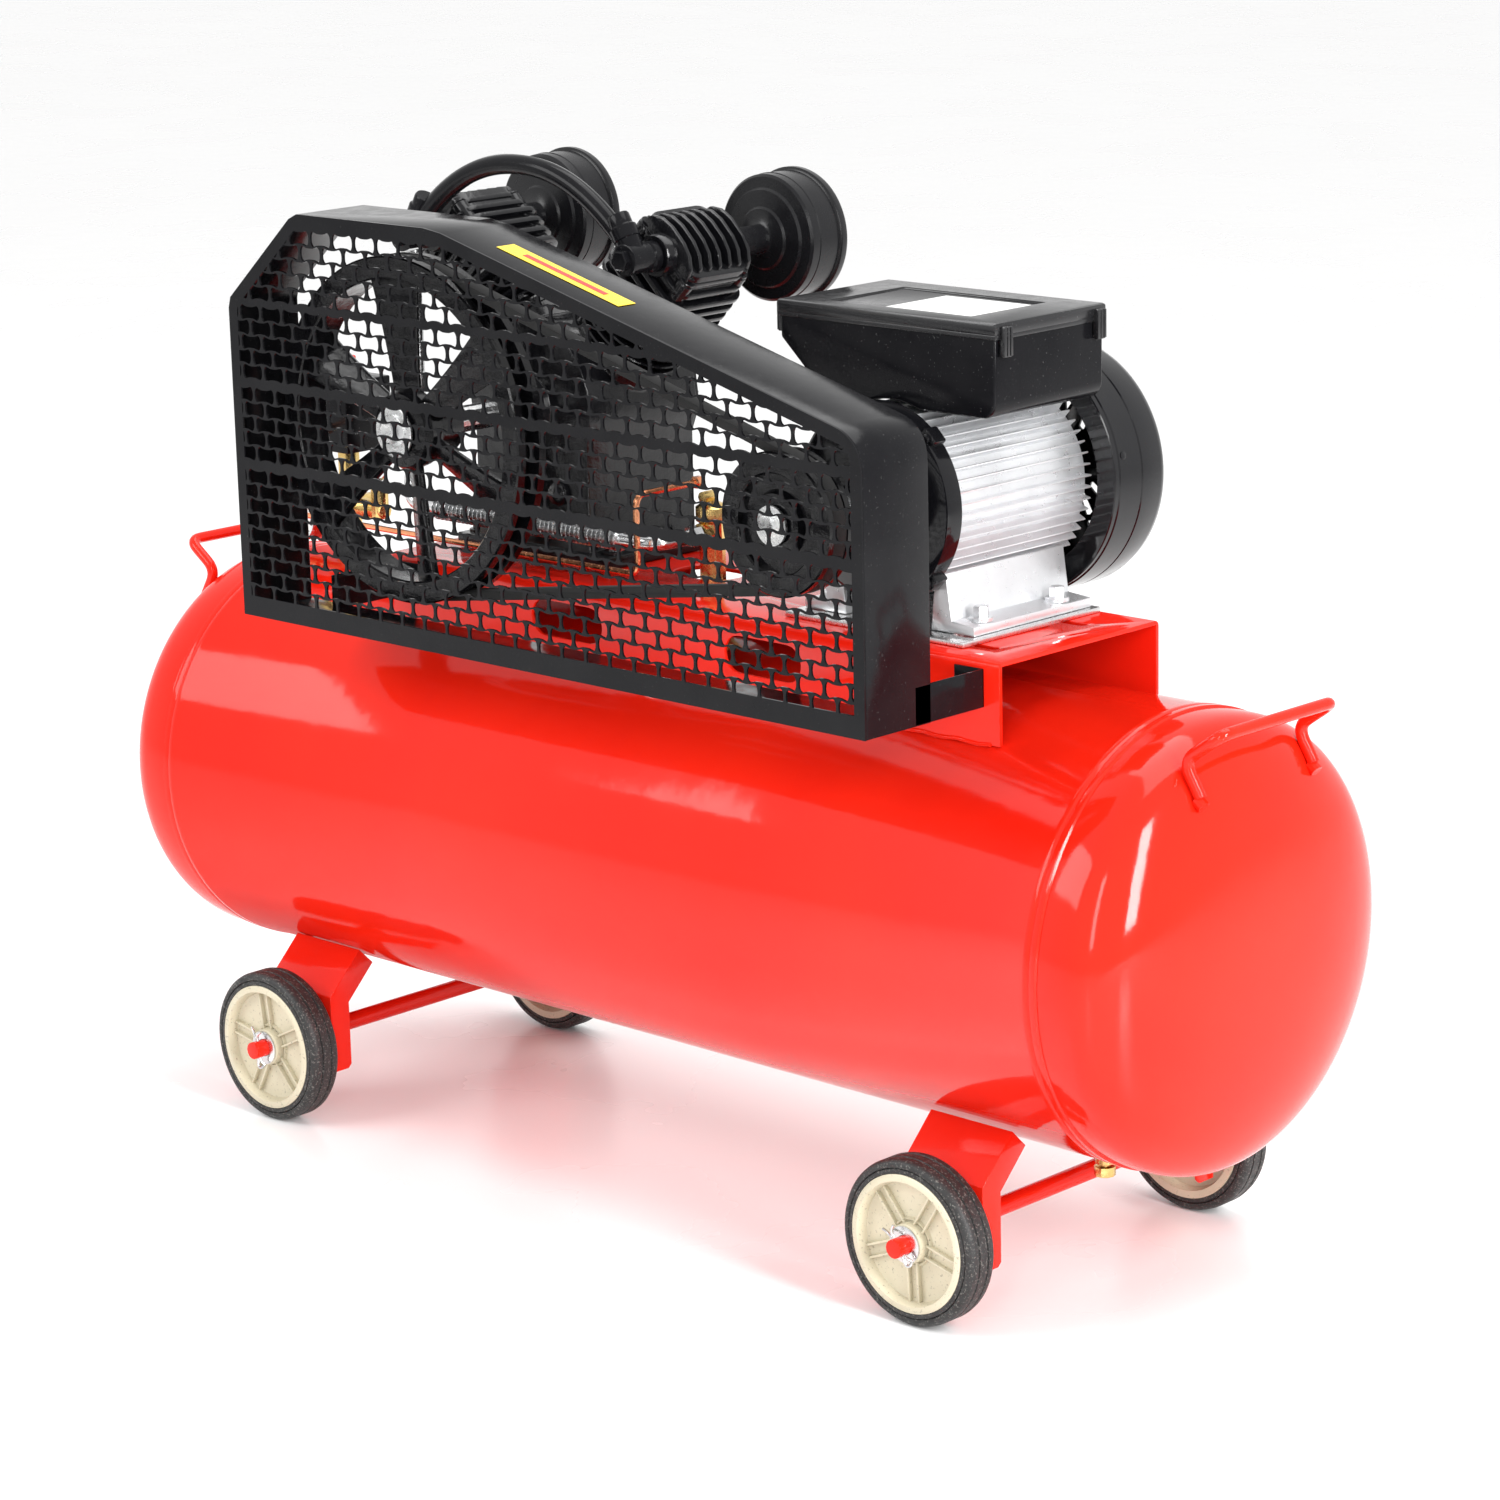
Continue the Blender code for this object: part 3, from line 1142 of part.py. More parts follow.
def safety_ring():
    x = MANIFOLD_X + 0.044 + GAP
    top = MANIFOLD_Z + 0.026
    stem = rod("safety_ring", 0.0026, (x, 0, top - 0.012), (x, 0, top + 0.006), 6)
    loop = []
    for step in range(12):
        angle = 2 * pi * step / 12
        loop.append(Vector((x + 0.010 * sin(angle), 0, top + 0.0155 - 0.010 * cos(angle))))
    mesh = bmesh.new()
    rings = []
    for index, point in enumerate(loop):
        out = (point - Vector((x, 0, top + 0.0155))).normalized()
        rings.append([
            mesh.verts.new(point + (out * cos(a) + AXES["Y"] * sin(a)) * 0.0014)
            for a in (2 * pi * step / 4 for step in range(4))
        ])
    for first, second in zip(rings, rings[1:] + rings[:1]):
        for step in range(4):
            after = (step + 1) % 4
            mesh.faces.new([first[step], first[after], second[after], second[step]])
    return fuse(stem, object_from("loop", mesh))


def drain_valve():
    skin = TANK_BELLY
    profile = [
        (0.0042, skin + 0.008), (PORT_R, skin + 0.008), (PORT_R, skin - 0.003),
        (0.0125, skin - 0.003), (0.0125, skin - 0.012), (0.0085, skin - 0.013),
        (0.0085, skin - 0.022), (0.0042, skin - 0.022),
    ]
    return lathe("drain_valve", profile[::-1], AXES["Z"], (DRAIN_X, 0, 0), 12)


def drain_screw():
    """The knurled screw that opens the drain."""
    stem = rod("drain_screw", 0.0038, (DRAIN_X, 0, TANK_BELLY - 0.030), (DRAIN_X, 0, TANK_BELLY - 0.004), 8)
    knob = prism("knob", polygon(10, 0.0095, DRAIN_X, 0), TANK_BELLY - 0.033, TANK_BELLY - 0.0245, "Z")
    return fuse(stem, knob)


# ---------------------------------------------------------------- finish and assembly

FINISHES = {
    "red_paint": ((0.72, 0.02, 0.01), 0.20, 0.0),
    "black_paint": ((0.012, 0.012, 0.014), 0.35, 0.0),
    "cast_black": ((0.015, 0.015, 0.016), 0.45, 0.4),
    "black_plastic": ((0.013, 0.013, 0.014), 0.40, 0.0),
    "rubber": ((0.018, 0.018, 0.018), 0.75, 0.0),
    "belt_rubber": ((0.020, 0.020, 0.020), 0.80, 0.0),
    "cream_plastic": ((0.62, 0.58, 0.44), 0.45, 0.0),
    "aluminium": ((0.75, 0.76, 0.78), 0.35, 1.0),
    "zinc": ((0.70, 0.71, 0.72), 0.30, 1.0),
    "steel": ((0.55, 0.55, 0.56), 0.30, 1.0),
    "brass": ((0.72, 0.52, 0.20), 0.30, 1.0),
    "copper": ((0.80, 0.33, 0.16), 0.30, 1.0),
    "red_plastic": ((0.65, 0.03, 0.02), 0.40, 0.0),
    "winding": ((0.45, 0.18, 0.08), 0.50, 0.6),
}


def finish(item, slot, pivot=None):
    """The part's material, its shading, and its origin on the axis it turns about."""
    material = bpy.data.materials.get(slot)
    if material is None:
        colour, rough, metal = FINISHES[slot]
        material = bpy.data.materials.new(slot)
        material.use_nodes = True
        shader = material.node_tree.nodes["Principled BSDF"]
        shader.inputs["Base Color"].default_value = (*colour, 1.0)
        shader.inputs["Roughness"].default_value = rough
        shader.inputs["Metallic"].default_value = metal
    item.data.materials.clear()
    item.data.materials.append(material)
    for face in item.data.polygons:
        face.use_smooth = True
        face.material_index = 0
    item.data.set_sharp_from_angle(angle=radians(38))
    if pivot is not None:
        item.data.transform(Matrix.Translation(-Vector(pivot)))
        item.location = pivot


def build():
    finish(tank_shell(), "red_paint")
    finish(platform(), "red_paint")
    for label, side in (("left", -1), ("right", 1)):
        finish(handle(f"handle_{label}", side), "red_paint")
        finish(undercarriage(f"undercarriage_{label}", side), "red_paint")
        for place, front in (("front", -1), ("rear", 1)):
            pivot = (side * AXLE_X, front * (WHEEL_FACE - WHEEL_WIDTH / 2), AXLE_Z)
            finish(wheel_hub(f"hub_{place}_{label}", side, front), "cream_plastic", pivot)
            finish(tyre(f"tyre_{place}_{label}", side, front), "rubber", pivot)
            finish(retainer(f"retainer_{place}_{label}", side, front), "zinc")
    finish(guard_shell(), "black_paint")
    finish(guard_mesh(), "black_paint")

    crank = (CRANK_X, PUMP_Y, CRANK_Z)
    finish(flywheel(), "cast_black", crank)
    finish(flywheel_bolt(), "zinc", crank)
    finish(crankshaft(), "steel", crank)
    finish(drive_belt(), "belt_rubber")
    finish(crankcase(), "cast_black")
    finish(bearing_cover(), "cast_black")
    for label, side in (("left", -1), ("right", 1)):
        pivot = bank_point(side, PISTON_TOP - 0.018)
        finish(piston(f"piston_{label}", side), "aluminium", pivot)
        finish(connecting_rod(f"rod_{label}", side), "aluminium", pivot)
        finish(cylinder(f"cylinder_{label}", side), "cast_black")
        finish(head(f"head_{label}", side), "cast_black")
        finish(air_filter(f"filter_{label}", side), "black_paint")
    finish(link_pipe(), "black_paint")
    finish(discharge_tube(), "steel")

    motor = (MOTOR_X, 0.0, MOTOR_Z)
    finish(motor_housing(), "aluminium")
    finish(end_shield(), "black_paint")
    finish(stator(), "winding")
    finish(motor_rotor(), "zinc", motor)
    finish(motor_pulley(), "cast_black", motor)
    finish(motor_fan(), "black_plastic", motor)
    finish(fan_cover(), "black_plastic")
    finish(base_plate(), "zinc")
    finish(terminal_box(), "black_plastic")
    finish(box_lid(), "black_plastic")

    finish(check_valve(), "brass")
    finish(unloader_tube(), "copper")
    finish(manifold(), "brass")
    finish(pressure_switch(), "black_plastic")
    finish(switch_button(), "red_plastic", (MANIFOLD_X, 0, MANIFOLD_TOP + 0.076))
    finish(pressure_gauge(), "steel")
    finish(outlet_tap(), "brass")
    finish(tap_lever(), "red_plastic", (MANIFOLD_X - 0.051 - GAP, 0, MANIFOLD_Z + 0.019))
    finish(safety_valve(), "brass")
    finish(safety_ring(), "steel", (MANIFOLD_X + 0.044 + GAP, 0, MANIFOLD_Z + 0.026))
    finish(drain_valve(), "brass")
    finish(drain_screw(), "brass", (DRAIN_X, 0, TANK_BELLY - 0.0285))


def centre():
    """The whole object moved so that its box is centred over the origin."""
    bpy.context.view_layer.update()
    items = [item for item in bpy.context.scene.objects if item.type == "MESH"]
    points = [item.matrix_world @ vertex.co for item in items for vertex in item.data.vertices]
    low = Vector([min(point[axis] for point in points) for axis in range(3)])
    high = Vector([max(point[axis] for point in points) for axis in range(3)])
    shift = Vector((-(low.x + high.x) / 2, -(low.y + high.y) / 2, -low.z))
    for item in items:
        item.location += shift


for leftover in list(bpy.data.objects):
    bpy.data.objects.remove(leftover)
build()
centre()
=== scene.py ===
"""The looks of a belt-driven air compressor on wheels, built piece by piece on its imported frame."""
import json
import logging
from collections.abc import Callable, Sequence
from dataclasses import dataclass
from enum import Enum
from math import atan, atan2, cos, pi, radians, sin, sqrt

import bpy
from bpy.types import Material, Node, NodeSocket, NodeTree, Object
from mathutils import Matrix, Vector

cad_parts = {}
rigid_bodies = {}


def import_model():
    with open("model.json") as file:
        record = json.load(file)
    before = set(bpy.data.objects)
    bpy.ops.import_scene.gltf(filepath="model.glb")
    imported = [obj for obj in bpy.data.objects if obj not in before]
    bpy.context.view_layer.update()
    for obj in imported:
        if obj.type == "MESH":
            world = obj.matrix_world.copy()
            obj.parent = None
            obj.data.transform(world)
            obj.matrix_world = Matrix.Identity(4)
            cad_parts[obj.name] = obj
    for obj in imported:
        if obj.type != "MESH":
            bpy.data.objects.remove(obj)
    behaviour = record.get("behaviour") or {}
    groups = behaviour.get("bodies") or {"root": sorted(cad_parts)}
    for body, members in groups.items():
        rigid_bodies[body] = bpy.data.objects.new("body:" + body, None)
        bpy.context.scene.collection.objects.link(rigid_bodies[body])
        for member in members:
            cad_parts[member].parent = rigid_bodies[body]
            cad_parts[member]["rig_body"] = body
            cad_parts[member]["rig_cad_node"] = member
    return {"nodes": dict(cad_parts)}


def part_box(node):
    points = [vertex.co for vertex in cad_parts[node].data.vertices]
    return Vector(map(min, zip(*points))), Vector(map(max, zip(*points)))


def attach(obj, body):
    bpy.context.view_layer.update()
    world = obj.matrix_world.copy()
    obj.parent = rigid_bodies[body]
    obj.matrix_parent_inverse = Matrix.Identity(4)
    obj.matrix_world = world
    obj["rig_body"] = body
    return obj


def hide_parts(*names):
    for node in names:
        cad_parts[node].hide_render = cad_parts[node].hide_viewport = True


logging.basicConfig(level=logging.INFO, format="%(message)s")
LOG = logging.getLogger("compressor")
Point = tuple[float, float, float]
Profile = Sequence[tuple[float, float]]
Colour = tuple[float, float, float]
Span = tuple[float, float]
TURN = 2 * pi
# The tank's middle plane: the frame is centred on the machine, whose guard stands out in front.
PLANE = 0.0169
BELT_Y = PLANE - 0.190
PIPE_Y = PLANE - 0.045

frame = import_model()


class Axis(Enum):
    """The way a turned or folded piece is built along."""

    X = (1, 0, 0)
    Y = (0, 1, 0)
    Z = (0, 0, 1)
    FRONT = (0, -1, 0)


# ---------------------------------------------------------------- finishes

@dataclass(frozen=True)
class Finish:
    """A surface with mottled colour, grain in its relief, uneven gloss and some dust.

    light and dark are the colours the mottle moves between; rough the low and high roughness;
    grain the relief's cells per metre and its depth in metres; mottle the colour cells per metre;
    ripple a second, slower relief, as in sprayed paint or a casting; dust the share of the
    surface that it covers.
    """

    name: str
    light: Colour
    dark: Colour
    rough: Span
    grain: Span
    mottle: float = 9.0
    metallic: float = 0.0
    ripple: Span = (20.0, 0.0)
    coat: float = 0.0
    dust: float = 0.0
    dust_colour: Colour = (0.35, 0.33, 0.30)
    dust_scale: float = 420.0
    specular: float = 0.5

    def material(self) -> Material:
        """Returns the finish's material, made once and then used again."""
        ready = bpy.data.materials.get(self.name)
        return ready if ready else self._build()

    def _build(self) -> Material:
        """Makes the node tree.

        Returns:
            The new material.
        """
        made = bpy.data.materials.new(self.name)
        made.use_nodes = True
        tree = made.node_tree
        skin = tree.nodes["Principled BSDF"]
        skin.inputs["Metallic"].default_value = self.metallic
        skin.inputs["Specular IOR Level"].default_value = self.specular
        skin.inputs["Coat Weight"].default_value = self.coat
        skin.inputs["Coat Roughness"].default_value = 0.04
        place = tree.nodes.new("ShaderNodeTexCoord").outputs["Object"]
        tree.links.new(self._mottled(tree, place), skin.inputs["Base Color"])
        gloss = self._noise(tree, place, self.mottle * 4.3, 4.0)
        tree.links.new(self._spread(tree, gloss, (0.3, 0.7), self.rough), skin.inputs["Roughness"])
        slow = self._relief(tree, place, self.ripple)
        fine = self._relief(tree, place, self.grain)
        tree.links.new(slow.outputs["Normal"], fine.inputs["Normal"])
        tree.links.new(fine.outputs["Normal"], skin.inputs["Normal"])
        return made

    @staticmethod
    def _noise(tree: NodeTree, place: NodeSocket, scale: float, detail: float) -> NodeSocket:
        """Adds one noise texture.

        Args:
            tree: the material's nodes.
            place: the coordinates.
            scale: cells per metre.
            detail: octaves.

        Returns:
            The socket that carries the noise.
        """
        noise = tree.nodes.new("ShaderNodeTexNoise")
        noise.inputs["Scale"].default_value = scale
        noise.inputs["Detail"].default_value = detail
        tree.links.new(place, noise.inputs["Vector"])
        return noise.outputs["Fac"]

    @staticmethod
    def _spread(tree: NodeTree, noise: NodeSocket, source: Span,
            target: Span = (0.0, 1.0)) -> NodeSocket:
        """Stretches one span of a noise over another.

        Args:
            tree: the material's nodes.
            noise: the noise.
            source: the span that is stretched.
            target: the span it is stretched over.

        Returns:
            The socket that carries the result.
        """
        spread = tree.nodes.new("ShaderNodeMapRange")
        for label, value in zip(("From Min", "From Max", "To Min", "To Max"), (*source, *target)):
            spread.inputs[label].default_value = value
        tree.links.new(noise, spread.inputs["Value"])
        return spread.outputs["Result"]

    def _relief(self, tree: NodeTree, place: NodeSocket, grain: Span) -> Node:
        """Adds a bump of one noise.

        Args:
            tree: the material's nodes.
            place: the coordinates.
            grain: cells per metre and depth in metres.

        Returns:
            The bump node.
        """
        bump = tree.nodes.new("ShaderNodeBump")
        bump.inputs["Strength"].default_value = 1.0
        bump.inputs["Distance"].default_value = grain[1]
        tree.links.new(self._noise(tree, place, grain[0], 3.0), bump.inputs["Height"])
        return bump

    def _mottled(self, tree: NodeTree, place: NodeSocket) -> NodeSocket:
        """Adds the colour's slow change and its dust.

        Args:
            tree: the material's nodes.
            place: the coordinates.

        Returns:
            The socket that carries the colour.
        """
        ramp = tree.nodes.new("ShaderNodeValToRGB")
        for stop, position, colour in zip(ramp.color_ramp.elements, (0.3, 0.7),
                (self.dark, self.light)):
            stop.position, stop.color = position, (*colour, 1)
        tree.links.new(self._noise(tree, place, self.mottle, 5.0), ramp.inputs["Fac"])
        if not self.dust:
            return ramp.outputs["Color"]
        specks = self._noise(tree, place, self.dust_scale, 6.0)
        share = self._spread(tree, specks, (0.66 - 0.3 * self.dust, 0.74 - 0.2 * self.dust))
        mix = tree.nodes.new("ShaderNodeMix")
        mix.data_type = "RGBA"
        tree.links.new(share, mix.inputs["Factor"])
        below, above = (socket for socket in mix.inputs if socket.type == "RGBA")
        tree.links.new(ramp.outputs["Color"], below)
        above.default_value = (*self.dust_colour, 1)
        return next(socket for socket in mix.outputs if socket.type == "RGBA")


RED = Finish("red_enamel", (0.74, 0.016, 0.005), (0.66, 0.011, 0.004), (0.06, 0.11), (700, 0.00001),
    mottle=5, ripple=(26, 0.00030), coat=0.04, specular=0.22)
CREAM = Finish("cream_hub", (0.60, 0.55, 0.41), (0.53, 0.48, 0.35), (0.34, 0.48), (900, 0.00006),
    mottle=22, dust=0.16, dust_colour=(0.30, 0.27, 0.20))
TYRE = Finish("tyre_rubber", (0.016, 0.016, 0.016), (0.008, 0.008, 0.008), (0.42, 0.66),
    (1400, 0.00012), mottle=40, dust=0.34, dust_colour=(0.12, 0.115, 0.105), dust_scale=520)
ZINC = Finish("zinc_plate", (0.84, 0.84, 0.83), (0.70, 0.71, 0.72), (0.22, 0.34), (700, 0.00002),
    mottle=60, metallic=1.0)
POWDER = Finish("black_powder_coat", (0.008, 0.008, 0.009), (0.004, 0.004, 0.005), (0.09, 0.17),
    (1500, 0.00002), mottle=14, ripple=(60, 0.00012), dust=0.02, dust_colour=(0.03, 0.03, 0.03),
    specular=0.13)
CAST = Finish("black_paint_on_casting", (0.007, 0.007, 0.008), (0.003, 0.003, 0.004), (0.08, 0.20),
    (520, 0.00016), mottle=30, ripple=(90, 0.0004), coat=0.05, specular=0.30)
GLOSS = Finish("black_gloss_cover", (0.006, 0.006, 0.007), (0.003, 0.003, 0.004), (0.06, 0.12),
    (1100, 0.00002), mottle=12, ripple=(34, 0.00018), specular=0.34)
MOULDED = Finish("black_moulded_plastic", (0.006, 0.006, 0.007), (0.003, 0.003, 0.004),
    (0.12, 0.20), (1700, 0.00003), mottle=18, ripple=(50, 0.0001), dust=0.02,
    dust_colour=(0.05, 0.05, 0.05), specular=0.12)
LID = Finish("black_lid_plastic", (0.010, 0.010, 0.011), (0.006, 0.006, 0.007), (0.16, 0.26),
    (1700, 0.00003), mottle=18, ripple=(50, 0.00008), dust=0.02, dust_colour=(0.06, 0.06, 0.06),
    specular=0.5)
CANISTER = Finish("black_filter_can", (0.008, 0.008, 0.009), (0.004, 0.004, 0.005), (0.20, 0.30),
    (1300, 0.00004), mottle=20, ripple=(70, 0.00012), specular=0.28)
BELT = Finish("belt_rubber", (0.020, 0.020, 0.020), (0.009, 0.009, 0.009), (0.45, 0.65),
    (1100, 0.0002), mottle=80, dust=0.2, dust_colour=(0.08, 0.08, 0.08))
STEEL = Finish("bright_steel", (0.72, 0.72, 0.72), (0.52, 0.53, 0.54), (0.16, 0.30), (900, 0.00003),
    mottle=70, metallic=1.0)
ALLOY = Finish("cast_aluminium", (0.78, 0.785, 0.80), (0.68, 0.685, 0.70), (0.26, 0.38),
    (850, 0.00006), mottle=24, metallic=0.75, ripple=(80, 0.0001), dust=0.05,
    dust_colour=(0.60, 0.61, 0.62))
BRASS = Finish("machined_brass", (0.83, 0.60, 0.24), (0.66, 0.45, 0.16), (0.18, 0.32),
    (800, 0.00005), mottle=55, metallic=1.0)
COPPER = Finish("drawn_copper", (0.86, 0.38, 0.20), (0.70, 0.26, 0.12), (0.16, 0.30),
    (700, 0.00004), mottle=45, metallic=1.0)
WINDING = Finish("lacquered_winding", (0.55, 0.22, 0.08), (0.32, 0.12, 0.05), (0.28, 0.45),
    (900, 0.0006), mottle=120, metallic=0.6)
SIGNAL = Finish("red_plastic", (0.66, 0.020, 0.012), (0.56, 0.015, 0.010), (0.24, 0.36),
    (1300, 0.00006), mottle=30)
PAPER = Finish("pale_label", (0.80, 0.80, 0.78), (0.72, 0.72, 0.70), (0.32, 0.42), (600, 0.00003),
    mottle=25)
YELLOW = Finish("yellow_label", (0.86, 0.62, 0.03), (0.78, 0.54, 0.02), (0.22, 0.34),
    (500, 0.00003), mottle=30)
LABEL_RED = Finish("red_label", (0.62, 0.03, 0.02), (0.52, 0.02, 0.015), (0.25, 0.35),
    (500, 0.00003), mottle=30)
GLASS = Finish("gauge_face", (0.88, 0.88, 0.86), (0.82, 0.82, 0.80), (0.08, 0.14), (300, 0.00002),
    mottle=15, coat=1.0)
FLOOR = Finish("pale_floor", (0.94, 0.938, 0.935), (0.925, 0.922, 0.92), (0.22, 0.30),
    (60, 0.00001), mottle=0.8)


# ---------------------------------------------------------------- the bench

class Bench:
    """The hand tools that every sub-assembly is made with, on the metre scale of the frame."""

    @staticmethod
    def clear() -> None:
        """Leaves edit mode and drops the selection."""
        if bpy.context.object and bpy.context.object.mode != "OBJECT":
            bpy.ops.object.mode_set(mode="OBJECT")
        bpy.ops.object.select_all(action="DESELECT")

    @staticmethod
    def pick(*pieces: Object) -> None:
        """Selects only these pieces.

        Args:
            pieces: what is selected, the first of them active.
        """
        Bench.clear()
        for piece in pieces:
            piece.select_set(True)
        bpy.context.view_layer.objects.active = pieces[0]

    @staticmethod
    def edit(piece: Object) -> None:
        """Opens a piece for editing with everything in it selected.

        Args:
            piece: the piece.
        """
        Bench.pick(piece)
        bpy.ops.object.mode_set(mode="EDIT")
        bpy.ops.mesh.select_mode(type="VERT")
        bpy.ops.mesh.select_all(action="SELECT")

    @staticmethod
    def settle(piece: Object) -> Object:
        """Closes a piece's mesh, turns its faces outward and sets its place into its mesh.

        Args:
            piece: the piece, in edit or object mode.

        Returns:
            The same piece.
        """
        Bench.edit(piece)
        bpy.ops.mesh.remove_doubles(threshold=1e-6)
        bpy.ops.mesh.normals_make_consistent(inside=False)
        Bench.pick(piece)
        bpy.ops.object.transform_apply(location=True, rotation=True, scale=True)
        return piece

    @staticmethod
    def line(name: str, points: Sequence[Sequence[float]]) -> Object:
        """Draws a chain of points, left open in edit mode.

        Args:
            name: the piece's name.
            points: the chain's points.

        Returns:
            The new piece.
        """
        Bench.clear()
        bpy.ops.mesh.primitive_plane_add(size=0.01, location=(0, 0, 0))
        piece = bpy.context.object
        piece.name = piece.data.name = name
        Bench.edit(piece)
        bpy.ops.mesh.merge(type="CENTER")
        bpy.ops.transform.translate(value=Vector(points[0]))
        for before, after in zip(points, points[1:]):
            step = Vector(after) - Vector(before)
            bpy.ops.mesh.extrude_vertices_move(TRANSFORM_OT_translate={"value": step})
        return piece

    @staticmethod
    def turned(name: str, profile: Profile, at: Sequence[float], axis: Sequence[float],
            steps: int = 48) -> Object:
        """Spins a profile into a round piece.

        Args:
            name: the piece's name.
            profile: (radius, height along the axis) pairs.
            at: the point height is measured from.
            axis: the way the piece points.
            steps: facets round it.

        Returns:
            The piece, in place.
        """
        piece = Bench.line(name, [(radius, 0, height) for radius, height in profile])
        bpy.ops.mesh.select_all(action="SELECT")
        bpy.ops.mesh.spin(steps=steps, angle=TURN, center=(0, 0, 0), axis=(0, 0, 1))
        bpy.ops.object.mode_set(mode="OBJECT")
        piece.matrix_world = Matrix.Translation(Vector(at)) @ Bench.facing(axis)
        return Bench.settle(piece)

    @staticmethod
    def facing(axis: Sequence[float]) -> Matrix:
        """Returns the turn that takes the upright axis to another."""
        return Vector((0, 0, 1)).rotation_difference(Vector(axis).normalized()).to_matrix().to_4x4()

    @staticmethod
    def plate(name: str, outline: Profile, low: float, high: float, axis: Axis = Axis.Y,
            bevel: float = 0.0) -> Object:
        """Folds an outline into a slab.

        Args:
            name: the piece's name.
            outline: the two coordinates across the axis, in x, y, z order.
            low: where the slab starts along its axis.
            high: where it ends.
            axis: X, Y or Z.
            bevel: how far its edges are rounded.

        Returns:
            The slab.
        """
        place: Callable[[float, float], Point] = {Axis.X: lambda u, v: (low, u, v),
            Axis.Y: lambda u, v: (u, low, v), Axis.Z: lambda u, v: (u, v, low)}[axis]
        piece = Bench.line(name, [place(u, v) for u, v in outline])
        bpy.ops.mesh.select_all(action="SELECT")
        bpy.ops.mesh.edge_face_add()
        reach = Vector(axis.value) * (high - low)
        bpy.ops.mesh.extrude_region_move(TRANSFORM_OT_translate={"value": reach})
        bpy.ops.object.mode_set(mode="OBJECT")
        Bench.settle(piece)
        return Bench.rounded(piece, bevel) if bevel else piece

    @staticmethod
    def block(name: str, low: Sequence[float], high: Sequence[float], bevel: float = 0.0) -> Object:
        """Returns a block between two corners, its edges rounded."""
        outline = [(low[0], low[2]), (high[0], low[2]), (high[0], high[2]), (low[0], high[2])]
        return Bench.plate(name, outline, low[1], high[1], Axis.Y, bevel)

    @staticmethod
    def bar(name: str, points: Sequence[Sequence[float]], radius: float, sides: int = 3) -> Object:
        """Draws a round bar along a chain of points.

        Args:
            name: the piece's name.
            points: the bar's middle line.
            radius: half its thickness.
            sides: the bevel resolution of its section.

        Returns:
            The bar, closed at both ends.
        """
        piece = Bench.line(name, points)
        bpy.ops.object.mode_set(mode="OBJECT")
        Bench.pick(piece)
        bpy.ops.object.convert(target="CURVE")
        piece = bpy.context.object
        piece.data.bevel_depth = radius
        piece.data.bevel_resolution = sides
        piece.data.use_fill_caps = True
        bpy.ops.object.convert(target="MESH")
        piece = bpy.context.object
        piece.name = piece.data.name = name
        return Bench.settle(piece)

    @staticmethod
    def bent(points: Sequence[Sequence[float]], radius: float, steps: int = 5) -> list[Vector]:
        """Rounds the corners of a chain.

        Args:
            points: the chain's corners.
            radius: how far each bend reaches along its legs.
            steps: points in each bend.

        Returns:
            The smooth chain.
        """
        chain = [Vector(p) for p in points]
        path = [chain[0]]
        for before, corner, after in zip(chain, chain[1:], chain[2:]):
            reach = min(radius, (before - corner).length * 0.49, (after - corner).length * 0.49)
            start = corner + (before - corner).normalized() * reach
            finish = corner + (after - corner).normalized() * reach
            for step in range(steps + 1):
                part = step / steps
                path.append(start.lerp(corner, part).lerp(corner.lerp(finish, part), part))
        return path + [chain[-1]]

    @staticmethod
    def rounded(piece: Object, width: float, segments: int = 2, angle: float = 32) -> Object:
        """Rounds a piece's sharp edges.

        Args:
            piece: the piece.
            width: the bevel's width.
            segments: its facets.
            angle: the least angle, in degrees, of an edge that is rounded.

        Returns:
            The same piece.
        """
        Bench.pick(piece)
        bevel = piece.modifiers.new("edge", "BEVEL")
        bevel.width, bevel.segments = width, segments
        bevel.limit_method, bevel.angle_limit = "ANGLE", radians(angle)
        bevel.use_clamp_overlap = True
        bpy.ops.object.modifier_apply(modifier=bevel.name)
        return piece

    @staticmethod
    def carved(piece: Object, cutters: Sequence[Object]) -> Object:
        """Cuts other pieces out of a piece and throws them away.

        Args:
            piece: the piece to cut.
            cutters: what is cut away.

        Returns:
            The same piece.
        """
        tool = Bench.joined("cutter", cutters)
        Bench.pick(piece)
        cut = piece.modifiers.new("cut", "BOOLEAN")
        cut.operation, cut.object, cut.solver = "DIFFERENCE", tool, "EXACT"
        cut.use_self = True
        bpy.ops.object.modifier_apply(modifier=cut.name)
        bpy.data.objects.remove(tool)
        return piece

    @staticmethod
    def joined(name: str, pieces: Sequence[Object]) -> Object:
        """Makes several pieces one.

        Args:
            name: the whole's name.
            pieces: the pieces, used up.

        Returns:
            The whole.
        """
        Bench.pick(*pieces)
        if len(pieces) > 1:
            bpy.ops.object.join()
        pieces[0].name = pieces[0].data.name = name
        return pieces[0]

    @staticmethod
    def copied(piece: Object, move: Matrix, name: str = "") -> Object:
        """Copies a piece to another place with its own mesh.

        Args:
            piece: the finished piece.
            move: what takes the piece to the copy's place.
            name: the copy's name.

        Returns:
            The copy.
        """
        Bench.pick(piece)
        bpy.ops.object.duplicate()
        twin = bpy.context.object
        twin.name = twin.data.name = name or piece.name
        twin.matrix_world = move
        return Bench.settle(twin)

    @staticmethod
    def repeated(pattern: Object, moves: Sequence[Matrix]) -> list[Object]:
        """Copies a pattern to several places and throws the pattern away.

        Args:
            pattern: the finished pattern.
            moves: what takes it to each place.

        Returns:
            The copies.
        """
        copies = [Bench.copied(pattern, move) for move in moves]
        bpy.data.objects.remove(pattern)
        return copies

